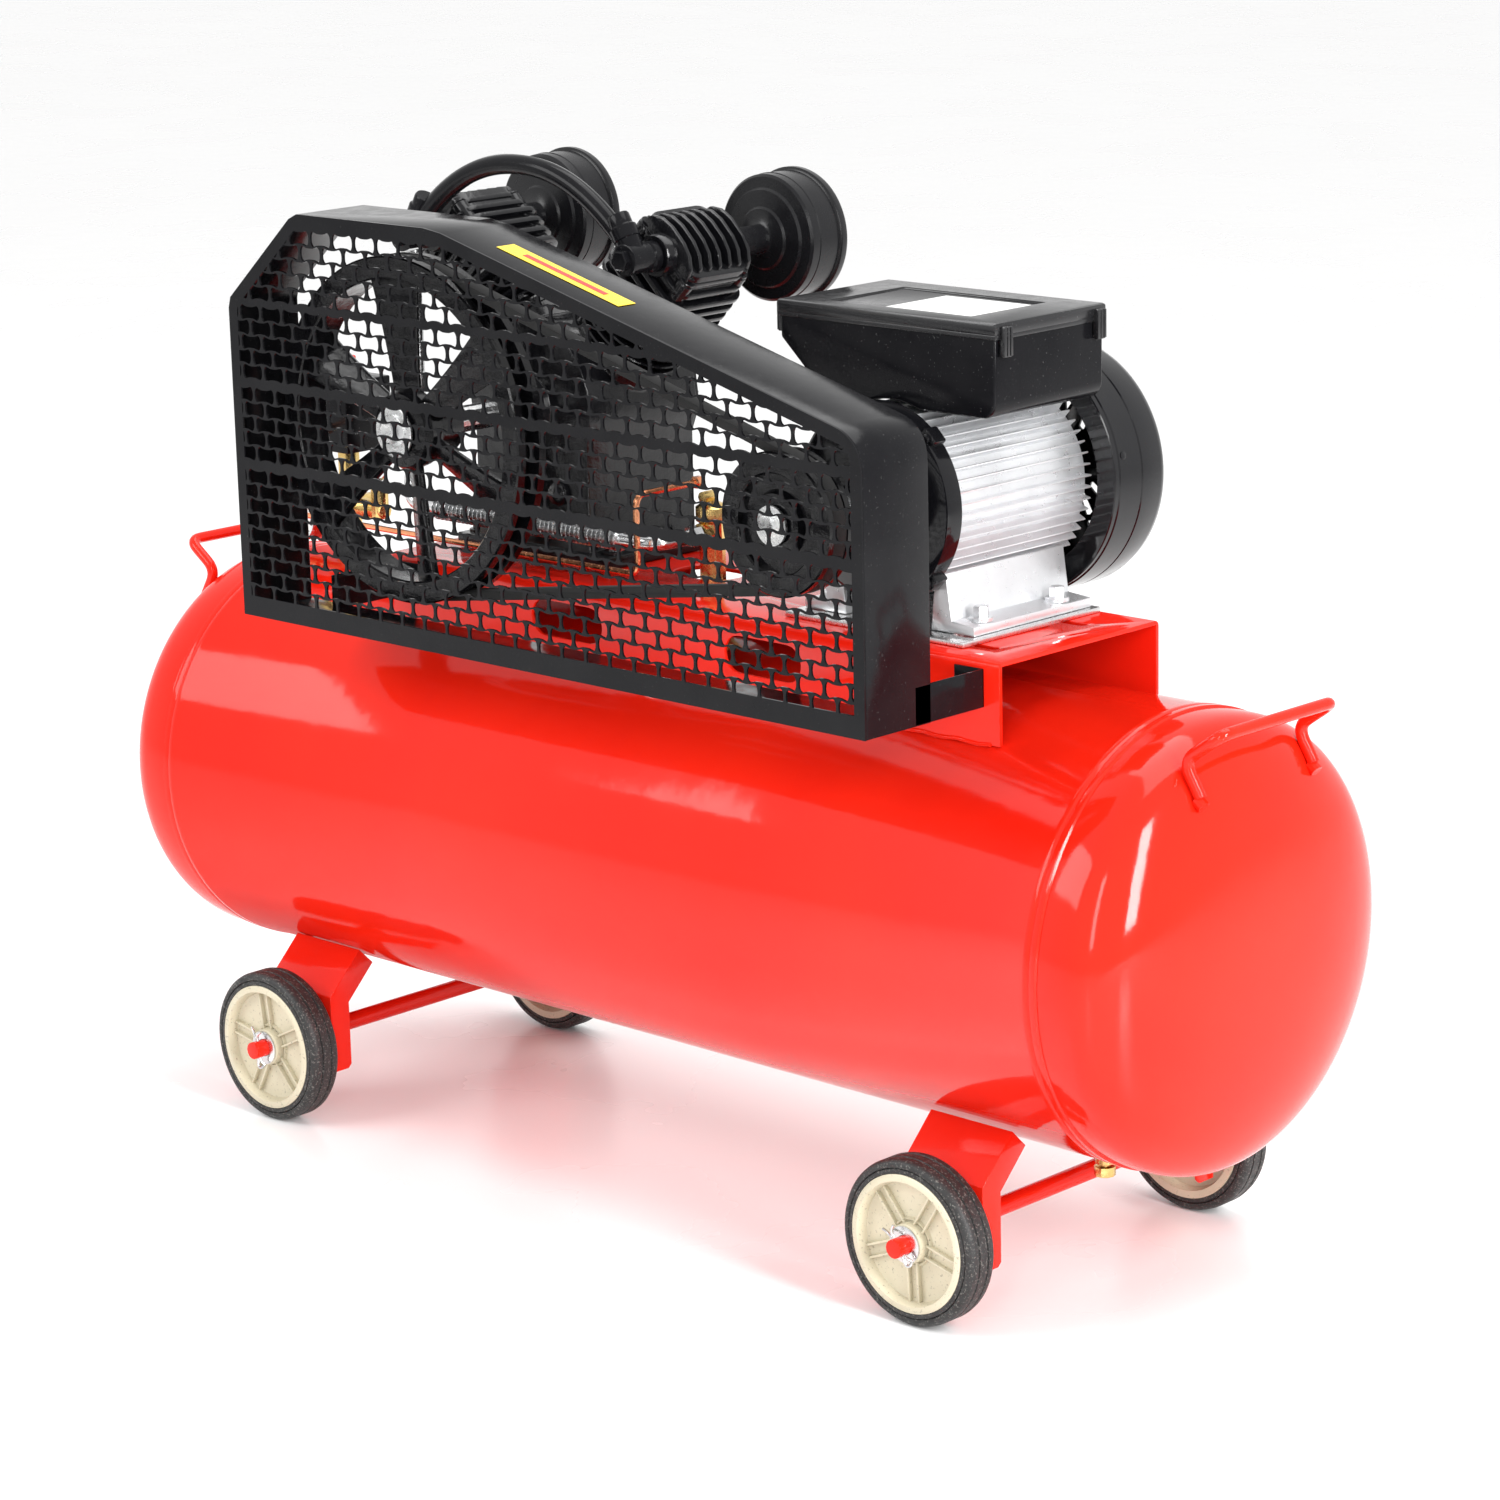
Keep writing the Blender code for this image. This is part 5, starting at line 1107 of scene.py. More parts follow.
@dataclass
class BeltDrive(Assembly):
    """The fan-spoked flywheel, the motor's pulley and the belt round both."""

    radius: float = 0.161
    half: float = 0.018
    pulley: float = 0.063
    groove: float = 0.0125
    big_pitch: float = 0.1552
    small_pitch: float = 0.0572
    belt_wide: float = 0.0078
    belt_narrow: float = 0.0052

    def rim(self, radius: float, half: float, inner: float) -> list[tuple[float, float]]:
        """Draws a grooved rim's section.

        Args:
            radius: the rim's outside.
            half: half its width.
            inner: its inside radius.

        Returns:
            The closed section.
        """
        floor = radius - self.groove
        wide, narrow = self.belt_wide + 0.0006, self.belt_narrow + 0.0004
        side = [(inner, half - 0.0015), (inner + 0.0015, half), (radius - 0.0015, half),
            (radius, half - 0.0015), (radius, wide), (floor, narrow)]
        return side + [(r, -h) for r, h in reversed(side)] + side[:1]

    def flywheel(self) -> Object:
        """Turns the rim and hub and sets six twisted fan blades between them.

        Returns:
            The flywheel.
        """
        at = self.middle("flywheel")
        at.y = BELT_Y
        pieces = [Bench.turned("rim", self.rim(self.radius, self.half, self.radius - 0.021), at,
            Axis.FRONT.value, 128)]
        hub = [(0.0125, -0.040), (0.027, -0.040), (0.030, -0.012), (0.036, -0.006), (0.038, 0.008),
            (0.034, 0.0148), (0.026, 0.0170), (0.0125, 0.0190)]
        pieces.append(Bench.turned("hub", [*hub, hub[0]], at, Axis.FRONT.value, 64))
        for spoke in range(6):
            pieces.append(self.blade(at, TURN * spoke / 6 + radians(36)))
        return Bench.joined("flywheel_skin", pieces)

    def blade(self, at: Vector, angle: float) -> Object:
        """Shapes one twisted blade of the flywheel.

        Args:
            at: the flywheel's middle.
            angle: the blade's place round it.

        Returns:
            The blade, in place.
        """
        inner, outer = 0.030, self.radius - 0.0195
        outline = []
        for step in range(7):
            part = step / 6
            outline.append((inner + (outer - inner) * part, -0.0125 - 0.0115 * part ** 1.5))
        outline += [(r, -w) for r, w in reversed(outline)]
        piece = Bench.plate("blade", outline, -0.0035, 0.0035, Axis.Z, 0.0014)
        turn = Matrix.Rotation(angle, 4, "Z") @ Matrix.Rotation(radians(24), 4, "X")
        piece.matrix_world = Matrix.Translation(at) @ Bench.facing(Axis.FRONT.value) @ turn
        return Bench.settle(piece)

    def motor_pulley(self) -> Object:
        """Turns the motor's plain disc pulley with its hub.

        Returns:
            The pulley.
        """
        at = self.middle("motor_pulley")
        at.y = BELT_Y
        half = 0.016
        pieces = [Bench.turned("rim", self.rim(self.pulley, half, 0.044), at, Axis.FRONT.value, 96)]
        web = [(0.0125, -0.030), (0.022, -0.030), (0.024, -0.006), (0.045, -0.006), (0.045, 0.0085),
            (0.030, 0.0085), (0.027, 0.0150), (0.0125, 0.0155)]
        pieces.append(Bench.turned("web", [*web, web[0]], at, Axis.FRONT.value, 64))
        return Bench.joined("motor_pulley_skin", pieces)

    def loop(self, offset: float) -> list[Span]:
        """Draws a belt's line round both pulleys.

        Args:
            offset: how far the line lies outside the pulleys' pitch circles.

        Returns:
            The closed line, as (x, z) pairs.
        """
        big, small = self.middle("flywheel"), self.middle("motor_pulley")
        across, up = small.x - big.x, small.z - big.z
        base = atan2(up, across)
        wrap = pi / 2 - atan2(self.big_pitch - self.small_pitch, sqrt(across ** 2 + up ** 2))
        points = []
        for centre, radius, first, sweep, count in ((big, self.big_pitch + offset, base + wrap,
                TURN - 2 * wrap, 72), (small, self.small_pitch + offset, base - wrap, 2 * wrap,
                40)):
            for step in range(count + 1):
                angle = first + sweep * step / count
                points.append((centre.x + radius * cos(angle), centre.z + radius * sin(angle)))
        return points

    def belt(self) -> Object:
        """Wraps the belt round both pulleys and narrows its inner side to a wedge.

        Returns:
            The belt.
        """
        inside = self.loop(-0.0050)
        belt = Bench.plate("drive_belt_skin", self.loop(0.0050), BELT_Y - self.belt_wide,
            BELT_Y + self.belt_wide)
        Bench.carved(belt, [Bench.plate("hollow", inside, BELT_Y - 0.02, BELT_Y + 0.02)])
        Bench.edit(belt)
        bpy.ops.mesh.select_all(action="DESELECT")
        bpy.ops.object.mode_set(mode="OBJECT")
        for vertex in belt.data.vertices:
            spot = Vector((vertex.co.x, vertex.co.z))
            vertex.select = min((spot - Vector(point)).length for point in inside) < 0.0012
        bpy.ops.object.mode_set(mode="EDIT")
        narrow = self.belt_narrow / self.belt_wide
        bpy.ops.transform.resize(value=(1, narrow, 1), center_override=(0, BELT_Y, 0))
        bpy.ops.object.mode_set(mode="OBJECT")
        return Bench.rounded(belt, 0.0006, 2, 50)

    def build(self) -> None:
        """Makes the flywheel, its bolt, the pulley and the belt."""
        self.put(self.flywheel(), CAST, "crankset", "cast_black", "flywheel")
        at, high = self.middle("flywheel_bolt"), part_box("flywheel_bolt")[1]
        washer = [(0, 0), (0.0235, 0), (0.0240, 0.0008), (0.0240, 0.0026), (0.0232, 0.0032),
            (0, 0.0032)]
        disc = Bench.turned("washer", washer, (at.x, high.y, at.z), Axis.FRONT.value, 48)
        head = self.bolt("head", (at.x, high.y - 0.0030, at.z), Axis.FRONT.value, 0.0110, 0.0098)
        self.put(Bench.joined("flywheel_bolt_skin", [disc, head]), ZINC, "crankset", "zinc",
            "flywheel_bolt")
        self.put(self.motor_pulley(), CAST, "rotor", "cast_black", "motor_pulley")
        self.put(self.belt(), BELT, "tank", "belt_rubber", "drive_belt")
        self.keep("motor_rotor", ZINC)
        self.keep("crankshaft", STEEL)


# ---------------------------------------------------------------- pump

@dataclass
class Pump(Assembly):
    """The V-twin pump: case, finned barrels and heads, filters and pipes."""

    deck: float = 0.0883
    barrel: float = 0.042
    fin: float = 0.056
    barrel_end: float = 0.150
    head_end: float = 0.243
    head_half: float = 0.049
    port: float = 0.215
    stud_ring: float = 0.05184

    def __post_init__(self) -> None:
        """Finds the crank's axis in the frame."""
        crank = self.middle("flywheel")
        self.centre = Vector((crank.x, PLANE + 0.030, crank.z))

    def lean(self, side: int) -> Matrix:
        """Returns the place of a bank: its height runs up the cylinder, its y across."""
        return Matrix.Translation(self.centre) @ Matrix.Rotation(side * radians(45), 4, "Y")

    def cylinder(self) -> Object:
        """Turns one finned barrel standing on the origin.

        Returns:
            The barrel.
        """
        start, end = self.deck, self.barrel_end
        profile = [(0.0335, start), (0.047, start), (0.047, start + 0.006),
            (self.barrel, start + 0.0075)]
        count = 5
        pitch = (end - start - 0.014) / count
        for fin in range(count):
            base = start + 0.0095 + fin * pitch
            profile += [(self.barrel + 0.0008, base), (self.fin - 0.0012, base + 0.0012),
                (self.fin, base + 0.0024), (self.fin - 0.0012, base + 0.0036),
                (self.barrel + 0.0008, base + 0.0048)]
        profile += [(0.047, end - 0.0035), (0.047, end), (0.0335, end)]
        barrel = Bench.turned("cylinder", [*profile, profile[0]], (0, 0, 0), Axis.Z.value, 72)
        pieces = [barrel]
        for corner in range(4):
            angle = TURN * (corner + 0.5) / 4
            at = (self.stud_ring * cos(angle), self.stud_ring * sin(angle), start + 0.0060)
            pieces.append(self.bolt("stud", at, Axis.Z.value, 0.0048, 0.006))
        return Bench.joined("cylinder", pieces)

    def head(self) -> Object:
        """Casts one head standing on the origin: fins, curved top ribs, a port boss and bolts.

        Returns:
            The head.
        """
        start, end, half = self.barrel_end + 0.0003, self.head_end, self.head_half
        pieces = []
        for level in range(6):
            low = start + 0.0005 + level * 0.0125
            reach = half - (0.0 if level < 4 else 0.0035 * (level - 3))
            pieces.append(self.pad(reach, low, low + 0.0058, 0.017))
        pieces.append(self.pad(half - 0.0085, start, end - 0.016, 0.016))
        for rib in range(7):
            y = (rib - 3) * 0.0128
            crown = [(-0.040, end - 0.030), (-0.034, end - 0.012), (-0.024, end - 0.004),
                (-0.010, end - 0.0003), (0.010, end - 0.0003), (0.024, end - 0.004),
                (0.034, end - 0.012), (0.040, end - 0.030)]
            pieces.append(Bench.plate("rib", crown, y - 0.0023, y + 0.0023, Axis.Y, 0.0010))
        for x in (-1, 1):
            for y in (-1, 1):
                post = [(0, start), (0.0088, start), (0.0088, end - 0.028), (0.0075, end - 0.0262),
                    (0, end - 0.0262)]
                at = (x * 0.0345, y * 0.0345, 0)
                pieces.append(Bench.turned("post", post, at, Axis.Z.value, 24))
                pieces.append(self.bolt("bolt", (at[0], at[1], end - 0.0262), Axis.Z.value, 0.0055,
                    0.0068))
        boss = [(0, -0.052), (0.0185, -0.052), (0.0200, -0.0495), (0.0200, 0.0495), (0.0185, 0.052),
            (0, 0.052)]
        pieces.append(Bench.turned("boss", boss, (0, 0, self.port), Axis.Y.value, 36))
        return Bench.joined("head", pieces)

    @staticmethod
    def pad(half: float, low: float, high: float, corner: float) -> Object:
        """Squares up one round-cornered layer of a head.

        Args:
            half: half its side.
            low: its foot's height.
            high: its top's height.
            corner: its corners' radius.

        Returns:
            The layer.
        """
        outline = []
        for quarter in range(4):
            for step in range(7):
                angle = pi / 2 * quarter + pi / 2 * step / 6
                x = (half - corner) * (1 if quarter in (0, 3) else -1) + corner * cos(angle)
                y = (half - corner) * (1 if quarter in (0, 1) else -1) + corner * sin(angle)
                outline.append((x, y))
        return Bench.plate("pad", outline, low, high, Axis.Z, 0.0012)

    def air_filter(self) -> Object:
        """Presses one filter can, its face up, its neck on the origin.

        Returns:
            The can.
        """
        profile = [(0, 0), (0.014, 0), (0.014, 0.036), (0.0165, 0.0375), (0.028, 0.0385),
            (0.030, 0.0405), (0.0455, 0.0415), (0.0475, 0.0440), (0.0575, 0.0450), (0.0598, 0.0472),
            (0.0600, 0.0500), (0.0600, 0.0560), (0.0606, 0.0566), (0.0600, 0.0572),
            (0.0600, 0.0810), (0.0622, 0.0818), (0.0632, 0.0830), (0.0632, 0.0880),
            (0.0622, 0.0904), (0.0590, 0.0907), (0.0565, 0.0890), (0.0540, 0.0886),
            (0.0525, 0.0868), (0.0340, 0.0862), (0.0320, 0.0876), (0.0230, 0.0880),
            (0.0215, 0.0864), (0.0090, 0.0862), (0.0080, 0.0893), (0.0030, 0.0903), (0, 0.0903)]
        return Bench.turned("filter", profile, (0, 0, 0), Axis.Z.value, 96)

    def pipe(self) -> Object:
        """Bends the pipe between the heads and sets an elbow, a collar and a bolt at each end.

        Returns:
            The pipe.
        """
        ends = [self.lean(side) @ Vector((0, 0, self.port)) for side in (-1, 1)]
        y, top = PIPE_Y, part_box("link_pipe")[1].z - 0.0096
        path = []
        for step in range(41):
            part = step / 40
            lift = (top - ends[0].z) * (1 - abs(2 * part - 1) ** 2.2)
            path.append((ends[0].x + (ends[1].x - ends[0].x) * part, y, ends[0].z + lift))
        pieces = [Bench.bar("pipe", path, 0.0094, 4)]
        for side, point in zip((-1, 1), ends):
            elbow = [(0, -0.0132), (0.0115, -0.0132), (0.0135, -0.0115), (0.0135, 0.0125),
                (0.0150, 0.0140), (0.0150, 0.0212), (0, 0.0212)]
            pieces.append(Bench.turned("elbow", elbow, (point.x, y, point.z), Axis.Y.value, 40))
            pieces.append(self.bolt("banjo", (point.x, y - 0.0130, point.z), Axis.FRONT.value,
                0.0100, 0.0088))
            away = Vector((-side * 0.50, 0, 0.87)).normalized()
            neck = [(0, 0.006), (0.0118, 0.006), (0.0118, 0.019), (0.0128, 0.020), (0.0128, 0.031),
                (0.0108, 0.033), (0.0108, 0.042), (0.0098, 0.044), (0, 0.044)]
            pieces.append(Bench.turned("collar", neck, (point.x, y, point.z), away, 32))
        return Bench.joined("link_pipe_skin", pieces)

    def discharge(self) -> Object:
        """Returns:
            The tube.
        """
        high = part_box("discharge_tube")[1]
        left = self.lean(-1) @ Vector((0, 0, self.port))
        y, back, z = PIPE_Y, PLANE - 0.064, 0.612
        corners = [(left.x, y, high.z), (left.x, y, z + 0.10), (left.x, back, z), (0.0, back, z),
            (0.0, high.y, z)]
        pieces = [Bench.bar("tube", Bench.bent(corners, 0.020, 6), 0.0069, 4)]
        ring = [(0.0060, -0.0008), (0.0112, -0.0005), (0.0114, 0), (0.0112, 0.0005),
            (0.0060, 0.0008), (0.0060, -0.0008)]
        one = Bench.turned("ring", ring, (0, 0, 0), Axis.X.value, 28)
        start = left.x + 0.045
        moves = [Matrix.Translation((start + index * 0.0058, back, z)) for index in range(44)]
        pieces += Bench.repeated(one, moves)
        nut = [(0, 0), (0.0100, 0), (0.0104, 0.001), (0.0104, 0.011), (0.0090, 0.0125), (0, 0.0125)]
        pieces.append(Bench.turned("nut", nut, (0.0, high.y - 0.0130, z), Axis.Y.value, 6))
        return Bench.joined("discharge_tube_skin", pieces)

    def case(self) -> Object:
        """Rounds the case's casting and adds its feet's bolts and its oil plug.

        Returns:
            The case.
        """
        case = Bench.refined("crankcase", 0.0022, 3, 30)
        low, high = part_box("crankcase")
        pieces = [case]
        for x in (low.x + 0.013, high.x - 0.013):
            for y in (low.y + 0.034, high.y - 0.018):
                pieces.append(self.bolt("foot_bolt", (x, y, 0.5862), Axis.Z.value, 0.0068, 0.0085))
        plug = [(0, 0), (0.0115, 0), (0.0115, 0.004), (0.0095, 0.0055), (0.0095, 0.0085),
            (0, 0.0085)]
        pieces.append(Bench.turned("oil_plug", plug, (self.centre.x + 0.040, low.y + 0.0200, 0.640),
            Axis.FRONT.value, 28))
        return Bench.joined("crankcase_skin", pieces)

    def build(self) -> None:
        """Makes the case, both banks, the filters and the pipes."""
        self.put(self.case(), CAST, "tank", "cast_black", "crankcase")
        cover = Bench.refined("bearing_cover", 0.0012, 3, 24)
        cover_at = self.middle("bearing_cover")
        bolts = [cover]
        for step in range(6):
            angle = TURN * step / 6
            spot = (cover_at.x + 0.066 * cos(angle), 0.1242, cover_at.z + 0.066 * sin(angle))
            bolts.append(self.bolt("bolt", spot, Axis.Y.value, 0.0055, 0.0068))
        self.put(Bench.joined("bearing_cover_skin", bolts), CAST, "tank", "cast_black",
            "bearing_cover")
        barrel, head, can = self.cylinder(), self.head(), self.air_filter()
        for side, name in ((-1, "left"), (1, "right")):
            bank = self.lean(side)
            self.put(Bench.copied(barrel, bank, f"cylinder_{name}_skin"), CAST, "tank",
                "cast_black", f"cylinder_{name}")
            self.put(Bench.copied(head, bank, f"head_{name}_skin"), CAST, "tank", "cast_black",
                f"head_{name}")
            low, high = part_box(f"filter_{name}")
            spot = Matrix.Translation(((low.x + high.x) / 2, low.y,
                (low.z + high.z) / 2)) @ Bench.facing(Axis.Y.value)
            self.put(Bench.copied(can, spot, f"filter_{name}_skin"), CANISTER, "tank",
                "black_paint", f"filter_{name}")
        for piece in (barrel, head, can):
            bpy.data.objects.remove(piece)
        self.put(self.pipe(), POWDER, "tank", "black_paint", "link_pipe")
        self.put(self.discharge(), STEEL, "tank", "steel", "discharge_tube")
        for node in ("piston_left", "piston_right", "rod_left", "rod_right"):
            self.keep(node, ALLOY)


# ---------------------------------------------------------------- motor

@dataclass
class Motor(Assembly):
    """The electric motor: finned body, shield, fan cover, terminal box, lid and base."""

    radius: float = 0.078
    fins: int = 52
    fin_tall: float = 0.0084
    cover: float = 0.1135
    bolt_x: float = 0.0870

    def __post_init__(self) -> None:
        """Finds the motor's axis in the frame."""
        at = self.middle("motor_rotor")
        self.x, self.z = at.x, at.z

    def around(self, angles: Sequence[float]) -> list[Matrix]:
        """Returns the moves that set a piece out round the motor's axis."""
        return [Bench.hung(self.x, self.z, angle) for angle in angles]

    def housing(self) -> Object:
        """Casts the body with its fins, feet and foot bolts.

        Returns:
            The body.
        """
        low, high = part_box("motor_housing")
        front, back = low.y, high.y
        tube = [(0.066, 0), (self.radius, 0), (self.radius, back - front), (0.066, back - front),
            (0.066, 0)]
        pieces = [Bench.turned("body", tube, (self.x, front, self.z), Axis.Y.value, 96)]
        outer = self.radius + self.fin_tall
        shape = [(self.radius - 0.001, -0.0013), (outer - 0.0006, -0.0008), (outer, 0.0),
            (outer - 0.0006, 0.0008), (self.radius - 0.001, 0.0013)]
        one = Bench.plate("fin", shape, front + 0.001, back - 0.0006, Axis.Y)
        angles = [TURN * (number + 0.5) / self.fins for number in range(self.fins)]
        clear = [angle for angle in angles if not 0.20 * TURN < angle < 0.30 * TURN]
        pieces += Bench.repeated(one, self.around(clear))
        foot_low = low.z + 0.0001
        for side in (-1, 1):
            shape = [(0.0998, foot_low), (0.0998, foot_low + 0.0085), (0.0740, foot_low + 0.0105),
                (0.0680, foot_low + 0.052), (0.0560, foot_low + 0.052), (0.0500, foot_low)]
            outline = [(self.x + side * x, z) for x, z in shape]
            pieces.append(Bench.plate("foot", outline, front, back - 0.018, Axis.Y, 0.0012))
            for y in (front + 0.024, back - 0.050):
                at = (self.x + side * self.bolt_x, y, foot_low + 0.0094)
                pieces.append(self.bolt("foot_bolt", at, Axis.Z.value, 0.0072, 0.0130))
        return Bench.joined("motor_housing_skin", pieces)

    def shield(self) -> Object:
        """Turns the front shield with its screw lugs.

        Returns:
            The shield.
        """
        rear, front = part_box("end_shield")[1].y, PLANE - 0.085
        deep = rear - front
        profile = [(0.0128, 0), (0.0880, 0), (0.0880, deep - 0.006), (0.0868, deep - 0.003),
            (0.0820, deep), (0.060, deep + 0.0005), (0.056, deep + 0.0025), (0.034, deep + 0.004),
            (0.030, deep + 0.0172), (0.028, deep + 0.0178), (0.0128, deep + 0.0178), (0.0128, 0)]
        pieces = [Bench.turned("shield", profile, (self.x, rear, self.z), Axis.FRONT.value, 96)]
        for number in range(4):
            angle = pi / 4 + number * pi / 2
            x, z = self.x + 0.0895 * cos(angle), self.z + 0.0895 * sin(angle)
            lug = Bench.block("lug", (-0.0085, front + 0.0042, -0.0085), (0.0085, rear, 0.0085),
                0.0022)
            inward = Matrix.Translation((-0.004, 0, 0))
            pieces += Bench.repeated(lug, [Bench.hung(x, z, angle) @ inward])
            pieces.append(self.bolt("screw", (x, front + 0.0044, z), Axis.FRONT.value, 0.0042,
                0.0038, 20))
        return Bench.joined("end_shield_skin", pieces)

    def fan_cover(self) -> Object:
        """Presses the fan's cup with its groove and stepped rim and slots its back.

        Returns:
            The cover.
        """
        low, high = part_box("fan_cover")
        deep, r, wall = high.y - low.y, self.cover, 0.0022
        profile = [(r - wall - 0.0020, 0.0), (r - 0.0020, 0.0), (r - 0.0010, 0.0008),
            (r - 0.0010, 0.0055), (r, 0.0065), (r, 0.0350), (r - 0.0009, 0.0358),
            (r - 0.0009, 0.0368), (r, 0.0376), (r, deep - 0.0125), (r - 0.0018, deep - 0.0065),
            (r - 0.0055, deep - 0.0022), (r - 0.0105, deep - 0.0004), (0.060, deep - 0.0004),
            (0.058, deep - 0.0016), (0.030, deep - 0.0016), (0.028, deep), (0, deep),
            (0, deep - wall - 0.001), (0.030, deep - wall - 0.0016),
            (r - 0.0110, deep - wall - 0.0004), (r - wall - 0.004, deep - 0.0070),
            (r - wall - 0.0020, deep - 0.0130), (r - wall - 0.0020, 0.0)]
        cup = Bench.turned("fan_cover_skin", profile, (self.x, low.y, self.z), Axis.Y.value, 128)
        shape = [(-0.0100, -0.0030), (0.0100, -0.0042), (0.0115, 0.0), (0.0100, 0.0042),
            (-0.0100, 0.0030), (-0.0110, 0.0)]
        punches = []
        for radius, count in ((0.0430, 14), (0.0700, 24)):
            one = Bench.plate("slot", [(x + radius, z) for x, z in shape], high.y - 0.012,
                high.y + 0.01, Axis.Y)
            angles = [TURN * (number + 0.5) / count for number in range(count)]
            punches += Bench.repeated(one, self.around(angles))
        Bench.carved(cup, punches)
        pieces = [cup]
        for number in range(3):
            angle = TURN * number / 3 + radians(12)
            out = Vector((cos(angle), 0, sin(angle)))
            at = Vector((self.x, low.y + 0.0120, self.z)) + out * (r - 0.0016)
            pieces.append(self.bolt("screw", at, out, 0.0036, 0.0024, 20))
        baffle = [(0.0885, 0.0040), (r - 0.0040, 0.0040), (r - 0.0040, 0.0060), (0.0885, 0.0060),
            (0.0885, 0.0040)]
        pieces.append(Bench.turned("baffle", baffle, (self.x, low.y, self.z), Axis.Y.value, 96))
        return Bench.joined("fan_cover_skin", pieces)

    def terminal_box(self) -> Object:
        """Moulds the box over the motor, with a sloping end and an end with a round corner.

        Returns:
            The box.
        """
        low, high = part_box("terminal_box")
        mid, top, foot = (low.x + high.x) / 2, high.z, 0.7685
        outline = [(mid - 0.1245, top), (mid - 0.1245, 0.818), (mid - 0.0700, foot)]
        for step in range(7):
            angle = -pi / 2 + pi / 2 * step / 6
            outline.append((mid + 0.1095 + 0.015 * cos(angle), foot + 0.015 + 0.015 * sin(angle)))
        outline.append((mid + 0.1250, top))
        box = Bench.plate("terminal_box_skin", outline, low.y, PLANE + 0.0860, Axis.Y)
        saddle = [(0, -0.2), (self.radius + self.fin_tall + 0.0009, -0.2),
            (self.radius + self.fin_tall + 0.0009, 0.2), (0, 0.2)]
        Bench.carved(box, [Bench.turned("saddle", saddle, (self.x, 0, self.z), Axis.Y.value, 96)])
        Bench.rounded(box, 0.0028, 4, 40)
        pieces = [box]
        x, z, back = self.x + 0.0355, 0.795, PLANE + 0.088
        gland = [(0, 0), (0.0138, 0), (0.0138, 0.0035), (0.0125, 0.0045), (0.0125, 0.0110),
            (0.0108, 0.0125), (0.0100, 0.0165), (0.0060, 0.0178), (0, 0.0178)]
        pieces.append(Bench.turned("gland", gland, (x, back - 0.0020, z), Axis.Y.value, 32))
        return Bench.joined("terminal_box_skin", pieces)

    def lid(self) -> None:
        """Moulds the lid with its sunk panel and corner posts, and lays the blank label in it."""
        low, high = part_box("box_lid")
        top, left, right = high.z, low.x + 0.0055, high.x - 0.0055
        front, back = low.y, high.y
        body = Bench.block("box_lid_skin", (left, front, top - 0.0119), (right, back, top), 0.0028)
        pit = Bench.block("pit", (0.2000, front + 0.0200, top - 0.0020),
            (0.3660, back - 0.0290, top + 0.01), 0.0016)
        Bench.carved(body, [pit])
        lip = Bench.block("lip", (left + 0.0006, front + 0.0006, top - 0.0150), (right - 0.0006,
            back - 0.0006, top - 0.0105), 0.0010)
        pieces = [body, lip]
        for x in (left - 0.0020, right + 0.0020):
            for y in (front + 0.012, back - 0.012):
                for step in range(3):
                    shift = (step - 1) * 0.0042
                    pieces.append(Bench.block("rib", (x - 0.0030, y + shift - 0.0015, top - 0.0290),
                        (x + 0.0030, y + shift + 0.0015, top - 0.0040), 0.0006))
                pieces.append(Bench.block("post", (x - 0.0022, y - 0.0055, top - 0.0300),
                    (x + 0.0022, y + 0.0055, top - 0.0034), 0.0012))
        self.put(Bench.joined("box_lid_skin", pieces), LID, "tank", "black_plastic", "box_lid")
        label = Bench.block("box_label", (0.2620, front + 0.0250, top - 0.0021),
            (0.3600, back - 0.0420, top - 0.0012), 0.0002)
        self.put(label, PAPER, "tank", "black_plastic")

    def base(self) -> Object:
        """Cuts the plated base with a slot for each foot bolt.

        Returns:
            The base.
        """
        low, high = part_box("base_plate")
        plate = Bench.block("base_plate_skin", low, high, 0.0009)
        slots = []
        for side in (-1, 1):
            for y in (low.y + 0.022, high.y - 0.030):
                slots.append(Platform.slot(self.x + side * self.bolt_x, y, 0.022, 0.0088,
                    low.z - 0.01, high.z + 0.01, Axis.Z))
        return Bench.carved(plate, slots)

    def build(self) -> None:
        """Makes every outside piece of the motor and dresses the inside ones."""
        self.put(self.housing(), ALLOY, "tank", "aluminium", "motor_housing")
        self.put(self.shield(), GLOSS, "tank", "black_paint", "end_shield")
        self.put(self.fan_cover(), GLOSS, "tank", "black_plastic", "fan_cover")
        self.put(self.terminal_box(), MOULDED, "tank", "black_plastic", "terminal_box")
        self.lid()
        self.put(self.base(), ZINC, "tank", "zinc", "base_plate")
        self.keep("motor_fan", MOULDED)
        self.keep("stator", WINDING)


# ---------------------------------------------------------------- air fittings

